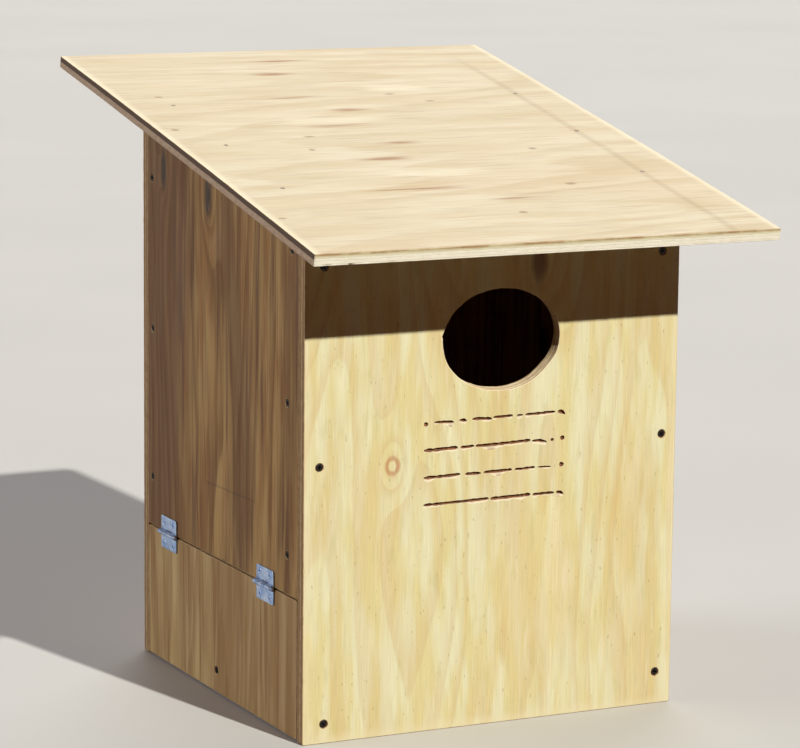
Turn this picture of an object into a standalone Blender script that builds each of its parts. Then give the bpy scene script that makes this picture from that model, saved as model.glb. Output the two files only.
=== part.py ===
"""Plywood nest box for a large cavity-nesting bird, such as a barn owl.

A square box with an oval entrance, four saw grooves below it as a foothold, a flat roof sheet that
slopes to the front, and a clean-out door: the lower part of the left wall, hung at its top edge on
two butt hinges and held shut by one screw into the edge of the floor.

Metres, +Z up, front towards -Y. The origin is the middle of the whole object's box, at its bottom.
"""

import math

import bmesh
import bpy
from mathutils import Matrix, Vector

# ---------------------------------------------------------------- driving sizes

BOX_WIDTH = 0.381  # outside, across the front panel
BOX_DEPTH = 0.381  # outside, front panel's face to back panel's face
FRONT_HEIGHT = 0.474  # front panel's face, bottom edge to roof
WALL = 0.012  # plywood of the walls, the door and the floor

ROOF_SHEET = 0.011  # plywood of the roof
ROOF_SLOPE = math.radians(11.2)
ROOF_SIDE_OVERHANG = 0.041
ROOF_FRONT_OVERHANG = 0.110  # level distance from the front panel to the sheet's upper edge
ROOF_BACK_OVERHANG = 0.118

ENTRANCE_WIDTH = 0.119
ENTRANCE_HEIGHT = 0.093
ENTRANCE_OFF_CENTRE = 0.006  # to the right of the middle
ENTRANCE_BELOW_ROOF = 0.1155  # front panel's top edge down to the middle of the oval

GROOVE_COUNT = 4
GROOVE_LENGTH = 0.145
GROOVE_HEIGHT = 0.0025
GROOVE_DEPTH = 0.003
GROOVE_PITCH = 0.0251
GROOVE_OFF_CENTRE = 0.001
GROOVES_BELOW_ENTRANCE = 0.0256  # lower rim of the oval to the first groove

DOOR_HEIGHT = 0.1317  # bottom of the walls up to the seam above the door
DOOR_SEAM = 0.0015  # open gap at the seam
DOOR_SIDE_GAP = 0.001  # door to front panel and to back panel
DOOR_LIFT = 0.002  # door's lower edge stays this far above the walls' lower edge

FLOOR_RECESS = 0.017  # floor's underside above the walls' lower edge
DRAIN_RADIUS = 0.005
DRAIN_INSET = 0.090  # drain hole to each face of the box

BATTEN_THICK = 0.019
BATTEN_WIDE = 0.038

HINGE_LENGTH = 0.038
HINGE_OPEN_WIDTH = 0.032  # across both leaves
HINGE_LEAF = 0.0012
KNUCKLE_RADIUS = 0.0026
HINGE_PIN_RADIUS = 0.0010
HINGE_PIN_PLAY = 0.0001  # radial, pin to knuckle bore
KNUCKLE_GAP = 0.0004  # between one knuckle and the next, and around each in the other leaf
KNUCKLE_LAP = 0.0001  # how far a knuckle stands past its leaf's back and its tongue's edges
PIN_HEAD_RADIUS = 0.0021
PIN_HEAD_LENGTH = 0.0014
HINGE_SCREW_SPREAD = 0.011  # along the leaf, each way from its middle
HINGE_SCREW_REACH = 0.0105  # from the pin
FRONT_HINGE_INSET = 0.0816  # hinge's middle, behind the front panel's face
REAR_HINGE_INSET = 0.0676  # hinge's middle, ahead of the back panel's face

SCREW_LENGTH = 0.025
SCREW_HEAD_RADIUS = 0.0037
SCREW_SHANK_RADIUS = 0.0020
SCREW_SINK = 0.0006  # head's top below the wood
DOOR_SCREW_LENGTH = 0.019
DOOR_SCREW_OFF_CENTRE = 0.007  # towards the back
HINGE_SCREW_LENGTH = 0.0095
HINGE_SCREW_HEAD_RADIUS = 0.0026
HINGE_SCREW_SHANK_RADIUS = 0.0014
NAIL_LENGTH = 0.036
NAIL_HEAD_RADIUS = 0.0022
NAIL_HEAD_THICK = 0.0008
NAIL_SHANK_RADIUS = 0.0012
NAIL_END_INSET = 0.062  # outer roof nails to the box's front and back faces

TOUCH = 0.0003  # clearance between pieces that touch
ROUND_SIDES = 10  # facets of a screw, a nail and their holes
KNUCKLE_SIDES = 12
OVAL_SIDES = 56

# Screws are driven by hand, so the rows wander a little. Each goes into a batten, so its place is
# measured from the inner face of the wall that the batten stands against.
FRONT_SCREWS_BOTTOM = ((0.0090, 0.018), (0.0045, 0.0305))  # left and right: (into the batten, height)
FRONT_SCREWS_MIDDLE = ((0.0035, 0.017), (0.0030, 0.0218))  # the height is above half the front's
FRONT_SCREWS_TOP = ((0.0070, 0.040), (0.0060, 0.043))  # the height is below the front's top edge
SIDE_SCREWS_INTO_FRONT_BATTEN = (0.0236, 0.0246, 0.0156)  # bottom, middle and top of the row
SIDE_SCREWS_INTO_REAR_BATTEN = (0.0105, 0.0115, 0.0105)
SIDE_SCREWS_ABOVE_SEAM = (0.037, 0.049)  # front row, rear row
SIDE_SCREWS_BELOW_ROOF = (0.033, 0.070)
BACK_SCREWS_INTO_BATTEN = 0.019
BACK_SCREWS_FROM_END = 0.046
FLOOR_SCREW_INSET = 0.105  # screws into the floor's edges, from the box's faces

# ---------------------------------------------------------------- places worked out from them

HALF_WIDTH = BOX_WIDTH / 2
FRONT_Y = (ROOF_FRONT_OVERHANG - ROOF_BACK_OVERHANG - ROOF_SHEET * math.sin(ROOF_SLOPE) - BOX_DEPTH) / 2
BACK_Y = FRONT_Y + BOX_DEPTH
MIDDLE_Y = (FRONT_Y + BACK_Y) / 2
SEAM_Z = DOOR_HEIGHT
KNUCKLE_FLAT = KNUCKLE_RADIUS * math.cos(math.pi / KNUCKLE_SIDES)  # pin to a facet's middle
HINGE_AXIS_X = -HALF_WIDTH - TOUCH - KNUCKLE_FLAT
LEAF_BACK_X = HINGE_AXIS_X + KNUCKLE_FLAT - KNUCKLE_LAP
FLOOR_MIDDLE_Z = FLOOR_RECESS + WALL / 2
ENTRANCE_Z = FRONT_HEIGHT - ENTRANCE_BELOW_ROOF
INTO_BACKWARD = Vector((0, 1, 0))
INTO_FORWARD = Vector((0, -1, 0))


def roof_underside(y):
    """Height of the roof sheet's lower face."""
    return FRONT_HEIGHT + TOUCH + (y - FRONT_Y) * math.tan(ROOF_SLOPE)


def wall_top(y):
    return roof_underside(y) - TOUCH


# ---------------------------------------------------------------- finishes


def linear(channel):
    """An sRGB channel, 0 to 255, as the linear value that a shader takes."""
    c = channel / 255
    return c / 12.92 if c <= 0.04045 else ((c + 0.055) / 1.055) ** 2.4


def finish(name, colour, roughness, metallic=0.0):
    material = bpy.data.materials.new(name)
    material.use_nodes = True
    shader = material.node_tree.nodes["Principled BSDF"]
    shader.inputs["Base Color"].default_value = (*(linear(c) for c in colour), 1)
    shader.inputs["Roughness"].default_value = roughness
    shader.inputs["Metallic"].default_value = metallic
    return material


# ---------------------------------------------------------------- meshes


def turned(profile, head, along, sides=ROUND_SIDES):
    """A closed turned shape. The profile is (radius, distance) pairs, the distance from head along
    the given direction, and it starts and ends on the axis."""
    mesh = bmesh.new()
    rings = []
    for radius, distance in profile:
        if radius == 0:
            rings.append([mesh.verts.new((0, 0, distance))])
            continue
        angles = [math.tau * (i + 0.5) / sides for i in range(sides)]
        rings.append([mesh.verts.new((radius * math.cos(a), radius * math.sin(a), distance)) for a in angles])
    for before, after in zip(rings, rings[1:]):
        for i in range(sides):
            j = (i + 1) % sides
            if len(before) == 1:
                mesh.faces.new((before[0], after[j], after[i]))
            elif len(after) == 1:
                mesh.faces.new((before[i], before[j], after[0]))
            else:
                mesh.faces.new((before[i], before[j], after[j], after[i]))
    turn = Vector((0, 0, 1)).rotation_difference(Vector(along)).to_matrix().to_4x4()
    bmesh.ops.transform(mesh, matrix=Matrix.Translation(head) @ turn, verts=mesh.verts)
    return mesh


def extruded(outline, direction):
    """A closed prism: a flat outline in space, pushed along a direction."""
    mesh = bmesh.new()
    base = mesh.faces.new([mesh.verts.new(point) for point in outline])
    top = bmesh.ops.extrude_face_region(mesh, geom=[base])["geom"]
    bmesh.ops.translate(mesh, vec=direction, verts=[v for v in top if isinstance(v, bmesh.types.BMVert)])
    bmesh.ops.recalc_face_normals(mesh, faces=mesh.faces)
    return mesh


def block(low, high):
    (x0, y0, z0), (x1, y1, z1) = low, high
    return extruded([(x0, y0, z0), (x1, y0, z0), (x1, y1, z0), (x0, y1, z0)], (0, 0, z1 - z0))


def upright(x0, x1, y0, y1, z0):
    """A standing board whose top is cut to the slope of the roof."""
    outline = [(x0, y0, z0), (x0, y1, z0), (x0, y1, wall_top(y1)), (x0, y0, wall_top(y0))]
    return extruded(outline, (x1 - x0, 0, 0))


def joined(meshes):
    """Several separate closed meshes as one, for a cutter."""
    whole = bmesh.new()
    for mesh in meshes:
        copy = bpy.data.meshes.new("copy")
        mesh.to_mesh(copy)
        whole.from_mesh(copy)
        bpy.data.meshes.remove(copy)
        mesh.free()
    return whole


# ---------------------------------------------------------------- objects


def add(name, mesh, material, origin=(0, 0, 0), parent=None, smooth=False):
    """An object from a mesh given in world coordinates, with its origin at a point."""
    bmesh.ops.translate(mesh, vec=-Vector(origin), verts=mesh.verts)
    data = bpy.data.meshes.new(name)
    mesh.to_mesh(data)
    mesh.free()
    if smooth:
        data.shade_smooth()
        data.set_sharp_from_angle(angle=math.radians(40))
    if material:
        data.materials.append(material)
    piece = bpy.data.objects.new(name, data)
    piece.location = Vector(origin) - (parent.location if parent else Vector())
    piece.parent = parent
    bpy.context.scene.collection.objects.link(piece)
    return piece


def combine(piece, operation, meshes, label):
    """Cuts meshes from a piece, or unites them with it."""
    helper = add(f"{piece.name}_{label}", joined(meshes), None)
    helper.hide_render = True
    helper.display_type = "WIRE"
    modifier = piece.modifiers.new(label, "BOOLEAN")
    modifier.operation = operation
    modifier.solver = "EXACT"
    modifier.object = helper


def screw_profile(length, head_radius, shank_radius, grow=0.0, above=0.0):
    """A countersunk screw. Grown by a clearance, and run out above its head, it is its own hole."""
    cone_end = head_radius - shank_radius + SCREW_SINK / 2
    taper_start = length - 2 * shank_radius
    return [
        (0, -above),
        (head_radius + grow, -above),
        (head_radius + grow, SCREW_SINK / 2),
        (shank_radius + grow, cone_end),
        (shank_radius + grow, taper_start),
        (0, length + grow * 2),
    ]


def nail_profile(grow=0.0, above=0.0):
    return [
        (0, -above),
        (NAIL_HEAD_RADIUS + grow, -above),
        (NAIL_HEAD_RADIUS + grow, NAIL_HEAD_THICK + grow),
        (NAIL_SHANK_RADIUS + grow, NAIL_HEAD_THICK + grow),
        (NAIL_SHANK_RADIUS + grow, NAIL_LENGTH - 2 * NAIL_SHANK_RADIUS),
        (0, NAIL_LENGTH + grow * 2),
    ]


class Fastener:
    """A screw or a nail: where its head is, the way it points, and its shape."""

    def __init__(self, name, head, along, shape, *sizes):
        self.name = name
        self.head = Vector(head)
        self.along = Vector(along).normalized()
        self.shape = shape
        self.sizes = sizes

    def solid(self):
        return turned(self.shape(*self.sizes), self.head, self.along)

    def hole(self):
        """The hole that clears it, open above its head."""
        return turned(self.shape(*self.sizes, grow=TOUCH, above=2 * SCREW_SINK), self.head, self.along)


def wood_screw(name, surface_point, along, length=SCREW_LENGTH):
    head = Vector(surface_point) + Vector(along) * SCREW_SINK
    return Fastener(name, head, along, screw_profile, length, SCREW_HEAD_RADIUS, SCREW_SHANK_RADIUS)


# ---------------------------------------------------------------- fasteners


def front_screws():
    screws = []
    rows = (
        (FRONT_SCREWS_BOTTOM, 0, 1),
        (FRONT_SCREWS_MIDDLE, FRONT_HEIGHT / 2, 1),
        (FRONT_SCREWS_TOP, FRONT_HEIGHT, -1),
    )
    for side, column, where in ((-1, 0, "left"), (1, 1, "right")):
        for row, (places, datum, up) in enumerate(rows):
            into_batten, rise = places[column]
            point = (side * (HALF_WIDTH - WALL - into_batten), FRONT_Y, datum + up * rise)
            screws.append(wood_screw(f"front_screw_{where}_{row + 1}", point, INTO_BACKWARD))
    return screws


def back_screws():
    screws = []
    top = wall_top(BACK_Y - WALL)
    for side, where in ((-1, "left"), (1, "right")):
        x = side * (HALF_WIDTH - WALL - BACK_SCREWS_INTO_BATTEN)
        for row, height in enumerate((BACK_SCREWS_FROM_END, top / 2, top - BACK_SCREWS_FROM_END)):
            screws.append(wood_screw(f"back_screw_{where}_{row + 1}", (x, BACK_Y, height), INTO_FORWARD))
    return screws


def side_screws(side, where):
    """Two rows down a side wall, into the front batten and into the rear batten."""
    screws = []
    inward = Vector((-side, 0, 0))
    rows = (
        ("front", [FRONT_Y + WALL + inset for inset in SIDE_SCREWS_INTO_FRONT_BATTEN], 0),
        ("rear", [BACK_Y - WALL - inset for inset in SIDE_SCREWS_INTO_REAR_BATTEN], 1),
    )
    for row, depths, column in rows:
        low = SEAM_Z + SIDE_SCREWS_ABOVE_SEAM[column]
        high = wall_top(depths[2]) - SIDE_SCREWS_BELOW_ROOF[column]
        for number, (y, z) in enumerate(zip(depths, (low, (low + high) / 2, high))):
            point = (side * HALF_WIDTH, y, z)
            screws.append(wood_screw(f"{where}_{row}_screw_{number + 1}", point, inward))
    return screws


def floor_screws():
    """Into the floor's edges: two through the right wall and two through the back panel."""
    screws = []
    for number, y in enumerate((FRONT_Y + FLOOR_SCREW_INSET, BACK_Y - FLOOR_SCREW_INSET)):
        point = (HALF_WIDTH, y, FLOOR_MIDDLE_Z)
        screws.append(wood_screw(f"floor_screw_right_{number + 1}", point, (-1, 0, 0)))
    for number, side in enumerate((-1, 1)):
        point = (side * (HALF_WIDTH - FLOOR_SCREW_INSET), BACK_Y, FLOOR_MIDDLE_Z)
        screws.append(wood_screw(f"floor_screw_back_{number + 1}", point, INTO_FORWARD))
    return screws


def roof_nails(side, where):
    """Driven square to the roof sheet, into the top edge of a side wall."""
    nails = []
    into_roof = Vector((0, math.sin(ROOF_SLOPE), -math.cos(ROOF_SLOPE)))
    x = side * (HALF_WIDTH - WALL / 2)
    for number, y in enumerate((FRONT_Y + NAIL_END_INSET, MIDDLE_Y, BACK_Y - NAIL_END_INSET)):
        on_top = Vector((x, y, roof_underside(y) + ROOF_SHEET / math.cos(ROOF_SLOPE)))
        head = on_top + into_roof * TOUCH
        nails.append(Fastener(f"roof_nail_{where}_{number + 1}", head, into_roof, nail_profile))
    return nails


def door_screw():
    point = (-HALF_WIDTH, MIDDLE_Y + DOOR_SCREW_OFF_CENTRE, FLOOR_MIDDLE_Z)
    return wood_screw("door_screw", point, (1, 0, 0), DOOR_SCREW_LENGTH)


def hinge_screws(place, middle_y):
    """Four screws, flush with the leaves. The first two hold the upper leaf."""
    screws = []
    face_x = LEAF_BACK_X - HINGE_LEAF
    for number, (up, along) in enumerate(((1, -1), (1, 1), (-1, -1), (-1, 1))):
        head = (face_x, middle_y + along * HINGE_SCREW_SPREAD, SEAM_Z + up * HINGE_SCREW_REACH)
        name = f"{place}_hinge_screw_{number + 1}"
        sizes = (HINGE_SCREW_LENGTH, HINGE_SCREW_HEAD_RADIUS, HINGE_SCREW_SHANK_RADIUS)
        screws.append(Fastener(name, head, (1, 0, 0), screw_profile, *sizes))
    return screws


# ---------------------------------------------------------------- cuts


def entrance_oval():
    centre = Vector((ENTRANCE_OFF_CENTRE, FRONT_Y - WALL / 2, ENTRANCE_Z))
    points = []
    for i in range(OVAL_SIDES):
        angle = math.tau * i / OVAL_SIDES
        offset = (ENTRANCE_WIDTH / 2 * math.cos(angle), 0, ENTRANCE_HEIGHT / 2 * math.sin(angle))
        points.append(centre + Vector(offset))
    return extruded(points, (0, 2 * WALL, 0))


def groove(number):
    z = ENTRANCE_Z - ENTRANCE_HEIGHT / 2 - GROOVES_BELOW_ENTRANCE - number * GROOVE_PITCH
    x0 = GROOVE_OFF_CENTRE - GROOVE_LENGTH / 2
    low = (x0, FRONT_Y - GROOVE_DEPTH, z - GROOVE_HEIGHT / 2)
    return block(low, (x0 + GROOVE_LENGTH, FRONT_Y + GROOVE_DEPTH, z + GROOVE_HEIGHT / 2))


def latch_pocket():
    """The door screw's hole in the floor's edge. The tip swings down as it leaves with the door,
    so the hole is wider than the screw by that drop."""
    screw = door_screw()
    across = screw.head.x + DOOR_SCREW_LENGTH - HINGE_AXIS_X
    down = SEAM_Z - FLOOR_MIDDLE_Z
    edge = -HALF_WIDTH + WALL + TOUCH - HINGE_AXIS_X
    drop = math.sqrt(across**2 + (down + SCREW_SHANK_RADIUS) ** 2 - edge**2) - down
    radius = drop + TOUCH
    depth = DOOR_SCREW_LENGTH + 4 * TOUCH
    return turned([(0, 0), (radius, 0), (radius, depth), (0, depth)], screw.head, screw.along)


def drain_holes():
    down = (0, 0, -1)
    holes = []
    for side in (-1, 1):
        for y in (FRONT_Y + DRAIN_INSET, BACK_Y - DRAIN_INSET):
            top = (side * (HALF_WIDTH - DRAIN_INSET), y, FLOOR_RECESS + 2 * WALL)
            profile = [(0, 0), (DRAIN_RADIUS, 0), (DRAIN_RADIUS, 3 * WALL), (0, 3 * WALL)]
            holes.append(turned(profile, top, down))
    return holes


# ---------------------------------------------------------------- pieces


def front_panel(material, screws):
    mesh = upright(-HALF_WIDTH, HALF_WIDTH, FRONT_Y, FRONT_Y + WALL, 0)
    panel = add("front_panel", mesh, material)
    combine(panel, "DIFFERENCE", [entrance_oval()], "entrance")
    combine(panel, "DIFFERENCE", [groove(i) for i in range(GROOVE_COUNT)], "grooves")
    combine(panel, "DIFFERENCE", [s.hole() for s in screws], "screw_holes")


def back_panel(material, screws):
    mesh = upright(-HALF_WIDTH, HALF_WIDTH, BACK_Y - WALL, BACK_Y, 0)
    panel = add("back_panel", mesh, material)
    combine(panel, "DIFFERENCE", [s.hole() for s in screws], "screw_holes")


def side_panel(name, side, bottom, material, fasteners):
    outer, inner = side * HALF_WIDTH, side * (HALF_WIDTH - WALL)
    y0, y1 = FRONT_Y + WALL + TOUCH, BACK_Y - WALL - TOUCH
    panel = add(name, upright(min(outer, inner), max(outer, inner), y0, y1, bottom), material)
    combine(panel, "DIFFERENCE", [f.hole() for f in fasteners], "fastener_holes")


def batten(name, side, rear, material, screws):
    """A standing batten in a corner. The front ones lie against the side walls and the rear ones
    lie against the back panel."""
    across, along = (BATTEN_WIDE, BATTEN_THICK) if rear else (BATTEN_THICK, BATTEN_WIDE)
    outer = side * (HALF_WIDTH - WALL - TOUCH)
    inner = outer - side * across
    if rear:
        y1 = BACK_Y - WALL - TOUCH
        y0 = y1 - along
    else:
        y0 = FRONT_Y + WALL + TOUCH
        y1 = y0 + along
    piece = add(name, upright(min(outer, inner), max(outer, inner), y0, y1, TOUCH), material)
    combine(piece, "DIFFERENCE", [s.hole() for s in screws], "screw_holes")


def floor_panel(material, screws):
    """Notched at its corners for the battens."""
    x = HALF_WIDTH - WALL - TOUCH
    y0, y1 = FRONT_Y + WALL + TOUCH, BACK_Y - WALL - TOUCH
    front_in, front_back = x - BATTEN_THICK - TOUCH, y0 + BATTEN_WIDE + TOUCH
    rear_in, rear_front = x - BATTEN_WIDE - TOUCH, y1 - BATTEN_THICK - TOUCH
    right = [
        (front_in, y0),
        (front_in, front_back),
        (x, front_back),
        (x, rear_front),
        (rear_in, rear_front),
        (rear_in, y1),
    ]
    left = [(-px, py) for px, py in reversed(right)]
    outline = [(px, py, FLOOR_RECESS) for px, py in right + left]
    panel = add("floor_panel", extruded(outline, (0, 0, WALL)), material)
    cuts = [s.hole() for s in screws] + drain_holes() + [latch_pocket()]
    combine(panel, "DIFFERENCE", cuts, "holes")


def roof_panel(material, nails):
    """The sheet, with its ends cut square to its own face."""
    along = Vector((0, math.cos(ROOF_SLOPE), math.sin(ROOF_SLOPE)))
    up = Vector((0, -math.sin(ROOF_SLOPE), math.cos(ROOF_SLOPE)))
    half = HALF_WIDTH + ROOF_SIDE_OVERHANG
    front_y = FRONT_Y - ROOF_FRONT_OVERHANG
    front_z = roof_underside(front_y) + ROOF_SHEET / math.cos(ROOF_SLOPE)
    length = (BOX_DEPTH + ROOF_FRONT_OVERHANG + ROOF_BACK_OVERHANG) / math.cos(ROOF_SLOPE)
    corner = Vector((-half, front_y, front_z))
    outline = [corner, corner + along * length, corner + along * length - up * ROOF_SHEET, corner - up * ROOF_SHEET]
    sheet = add("roof_panel", extruded(outline, (2 * half, 0, 0)), material)
    combine(sheet, "DIFFERENCE", [n.hole() for n in nails], "nail_holes")


def clean_out_door(material, pivot, fasteners):
    low = (-HALF_WIDTH, FRONT_Y + WALL + DOOR_SIDE_GAP, DOOR_LIFT)
    high = (-HALF_WIDTH + WALL, BACK_Y - WALL - DOOR_SIDE_GAP, SEAM_Z - DOOR_SEAM / 2)
    door = add("clean_out_door", block(low, high), material, pivot.location, pivot)
    combine(door, "DIFFERENCE", [f.hole() for f in fasteners], "fastener_holes")


def hinge_leaf(name, middle_y, up, segments, material, screws, pivot=None):
    """A leaf that lies on the wood, with its knuckles round the pin.

    up is 1 for the leaf above the seam and -1 for the one below. segments are the (start, end)
    distances of this leaf's knuckles along the hinge; between them its edge clears the others."""
    clear = SEAM_Z + up * (KNUCKLE_RADIUS + KNUCKLE_GAP)
    start, end = middle_y - HINGE_LENGTH / 2, middle_y + HINGE_LENGTH / 2
    far = SEAM_Z + up * HINGE_OPEN_WIDTH / 2
    outline = [(start, far), (start, clear)]
    for y0, y1 in segments:
        tongue = (start + y0 + KNUCKLE_LAP, start + y1 - KNUCKLE_LAP)
        outline += [(tongue[0], clear), (tongue[0], SEAM_Z), (tongue[1], SEAM_Z), (tongue[1], clear)]
    outline += [(end, clear), (end, far)]
    points = [Vector((LEAF_BACK_X, y, z)) for y, z in outline]
    origin = pivot.location if pivot else (HINGE_AXIS_X, middle_y, SEAM_Z)
    leaf = add(name, extruded(points, (-HINGE_LEAF, 0, 0)), material, origin, pivot)
    tubes = []
    for y0, y1 in segments:
        profile = [(0, 0), (KNUCKLE_RADIUS, 0), (KNUCKLE_RADIUS, y1 - y0), (0, y1 - y0)]
        end_point = (HINGE_AXIS_X, start + y0, SEAM_Z)
        tubes.append(turned(profile, end_point, INTO_BACKWARD, KNUCKLE_SIDES))
    combine(leaf, "UNION", tubes, "knuckles")
    bore = (HINGE_PIN_RADIUS + HINGE_PIN_PLAY) / math.cos(math.pi / KNUCKLE_SIDES)
    through = [(0, 0), (bore, 0), (bore, 2 * HINGE_LENGTH), (0, 2 * HINGE_LENGTH)]
    bore_start = (HINGE_AXIS_X, middle_y - HINGE_LENGTH, SEAM_Z)
    combine(leaf, "DIFFERENCE", [turned(through, bore_start, INTO_BACKWARD, KNUCKLE_SIDES)], "pin_bore")
    combine(leaf, "DIFFERENCE", [s.hole() for s in screws], "screw_holes")


def hinge_pin(name, middle_y, material):
    half = HINGE_LENGTH / 2 + TOUCH
    cap = half + PIN_HEAD_LENGTH
    crown = PIN_HEAD_RADIUS / 2
    profile = [
        (0, -cap),
        (crown, -cap),
        (PIN_HEAD_RADIUS, -half - crown / 2),
        (PIN_HEAD_RADIUS, -half),
        (HINGE_PIN_RADIUS, -half),
        (HINGE_PIN_RADIUS, half),
        (PIN_HEAD_RADIUS, half),
        (PIN_HEAD_RADIUS, half + crown / 2),
        (crown, cap),
        (0, cap),
    ]
    centre = (HINGE_AXIS_X, middle_y, SEAM_Z)
    add(name, turned(profile, centre, INTO_BACKWARD, KNUCKLE_SIDES), material, centre, smooth=True)


def hinge(place, middle_y, zinc, screws, pivot):
    """Three knuckles: the outer two on the upper leaf and the middle one on the lower leaf."""
    third = HINGE_LENGTH / 3
    half_gap = KNUCKLE_GAP / 2
    outer = [(0, third - half_gap), (2 * third + half_gap, HINGE_LENGTH)]
    middle = [(third + half_gap, 2 * third - half_gap)]
    hinge_leaf(f"{place}_hinge_upper_leaf", middle_y, 1, outer, zinc, screws[:2])
    hinge_leaf(f"{place}_hinge_lower_leaf", middle_y, -1, middle, zinc, screws[2:], pivot)
    hinge_pin(f"{place}_hinge_pin", middle_y, zinc)


# ---------------------------------------------------------------- assembly


def main():
    for old in list(bpy.data.objects):
        bpy.data.objects.remove(old)

    front_ply = finish("front_plywood", (224, 201, 142), 0.62)
    side_ply = finish("side_plywood", (150, 112, 78), 0.66)
    door_ply = finish("door_plywood", (168, 142, 102), 0.66)
    roof_ply = finish("roof_plywood", (228, 206, 166), 0.68)
    inner_ply = finish("inner_plywood", (205, 176, 128), 0.70)
    pine = finish("batten_pine", (214, 184, 136), 0.68)
    zinc = finish("zinc_plated_steel", (176, 186, 200), 0.38, 1.0)
    dark_steel = finish("dark_screw_steel", (38, 34, 32), 0.45, 0.7)
    bright_steel = finish("nail_steel", (140, 134, 126), 0.45, 1.0)

    pivot = bpy.data.objects.new("door_hinge_axis", None)
    pivot.location = (HINGE_AXIS_X, MIDDLE_Y, SEAM_Z)
    bpy.context.scene.collection.objects.link(pivot)

    front = front_screws()
    back = back_screws()
    left = side_screws(-1, "left")
    right = side_screws(1, "right")
    to_floor = floor_screws()
    left_nails = roof_nails(-1, "left")
    right_nails = roof_nails(1, "right")
    latch = door_screw()
    hinges = {
        "front": FRONT_Y + FRONT_HINGE_INSET,
        "rear": BACK_Y - REAR_HINGE_INSET,
    }
    leaf_screws = {place: hinge_screws(place, y) for place, y in hinges.items()}
    upper_leaf_screws = [s for screws in leaf_screws.values() for s in screws[:2]]
    lower_leaf_screws = [s for screws in leaf_screws.values() for s in screws[2:]]
    right_floor, back_floor = to_floor[:2], to_floor[2:]

    front_panel(front_ply, front)
    back_panel(side_ply, back + back_floor)
    side_panel("left_side_panel", -1, SEAM_Z + DOOR_SEAM / 2, side_ply, left + left_nails + upper_leaf_screws)
    side_panel("right_side_panel", 1, 0, side_ply, right + right_nails + right_floor)
    clean_out_door(door_ply, pivot, lower_leaf_screws + [latch])
    floor_panel(inner_ply, to_floor)
    roof_panel(roof_ply, left_nails + right_nails)
    for side, where, walls in ((-1, "left", left), (1, "right", right)):
        into_front = [s for s in front if where in s.name] + [s for s in walls if "front" in s.name]
        into_rear = [s for s in back if where in s.name] + [s for s in walls if "rear" in s.name]
        batten(f"front_{where}_batten", side, False, pine, into_front)
        batten(f"rear_{where}_batten", side, True, pine, into_rear)
    for place, y in hinges.items():
        hinge(place, y, zinc, leaf_screws[place], pivot)

    for screw in front + back + left + right + to_floor:
        add(screw.name, screw.solid(), dark_steel, screw.head, smooth=True)
    for nail in left_nails + right_nails:
        add(nail.name, nail.solid(), bright_steel, nail.head, smooth=True)
    for screw in upper_leaf_screws:
        add(screw.name, screw.solid(), zinc, screw.head, smooth=True)
    for screw in lower_leaf_screws:
        add(screw.name, screw.solid(), zinc, screw.head, pivot, smooth=True)
    add(latch.name, latch.solid(), dark_steel, latch.head, pivot, smooth=True)


main()
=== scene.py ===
"""Looks for the plywood nest box: sawn and eased plywood boards, a bowed roof sheet, zinc butt
hinges, dark wood screws and roof nails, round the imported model.

Metres, +Z up, front towards -Y. A board is drawn on its own (u, v) plane, seen from its outer face,
with depth going into the wood.
"""

import math

import bpy
import numpy as np
from mathutils import Matrix, Vector, noise
from mathutils.geometry import delaunay_2d_cdt


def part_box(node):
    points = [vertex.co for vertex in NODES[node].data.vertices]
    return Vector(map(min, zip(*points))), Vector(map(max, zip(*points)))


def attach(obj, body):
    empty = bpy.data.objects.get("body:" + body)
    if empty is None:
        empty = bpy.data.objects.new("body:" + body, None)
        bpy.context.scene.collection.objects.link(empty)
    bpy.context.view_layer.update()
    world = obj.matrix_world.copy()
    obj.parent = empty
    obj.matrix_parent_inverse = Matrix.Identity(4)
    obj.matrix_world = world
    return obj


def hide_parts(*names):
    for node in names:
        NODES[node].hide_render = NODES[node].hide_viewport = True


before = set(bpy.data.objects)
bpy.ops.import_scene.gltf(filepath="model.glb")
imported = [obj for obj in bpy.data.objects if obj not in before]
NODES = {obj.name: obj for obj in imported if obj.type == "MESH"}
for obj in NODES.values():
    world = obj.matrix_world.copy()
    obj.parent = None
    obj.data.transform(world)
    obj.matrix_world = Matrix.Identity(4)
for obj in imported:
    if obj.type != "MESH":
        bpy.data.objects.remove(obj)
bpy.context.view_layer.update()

# ---------------------------------------------------------------- sizes

WALL = 0.012
ROOF_SHEET = 0.011
ROOF_SLOPE = math.radians(11.2)
ROOF_BOW = 0.0016  # the sheet's front and back ends hang this much below its middle

WALL_PLIES = (0.0016, 0.0046, 0.0074, 0.0104)  # depths of the glue lines
ROOF_PLIES = (0.0013, 0.0042, 0.0066, 0.0096)
SAW_STEP = 0.004  # spacing of the points along a sawn edge
ARRIS = 0.0005  # eased corner between a face and an edge
DEEPEST_CHIP = 0.0011
WOOD_SHARP = 12.0  # degrees: edges that turn more than this stay crisp
METAL_SHARP = 35.0
FACE, EDGE, CUT, KERF, RIM_PAINTED_LIGHT = range(5)  # a board's finishes, in the order that it takes them
GLUE_GROOVE_HALF = 0.0002  # half the height of the fine groove at each glue line
GLUE_GROOVE_DEPTH = 0.00014

SCREW_HEAD_RADIUS = 0.0037
SCREW_SHANK_RADIUS = 0.0020
HINGE_SCREW_HEAD_RADIUS = 0.0026
HINGE_SCREW_SHANK_RADIUS = 0.0014
NAIL_HEAD_RADIUS = 0.0022
NAIL_SHANK_RADIUS = 0.0012
WOOD_SCREW_LENGTH = 0.025
DOOR_SCREW_LENGTH = 0.019
HINGE_SCREW_LENGTH = 0.0095
SCREW_POINT = 0.0035  # length of the tapered tip
SCREW_TURN = 0.83  # radians from one screw's recess to the next one's
NAIL_LENGTH = 0.036
NAIL_POINT = 0.0030

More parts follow.
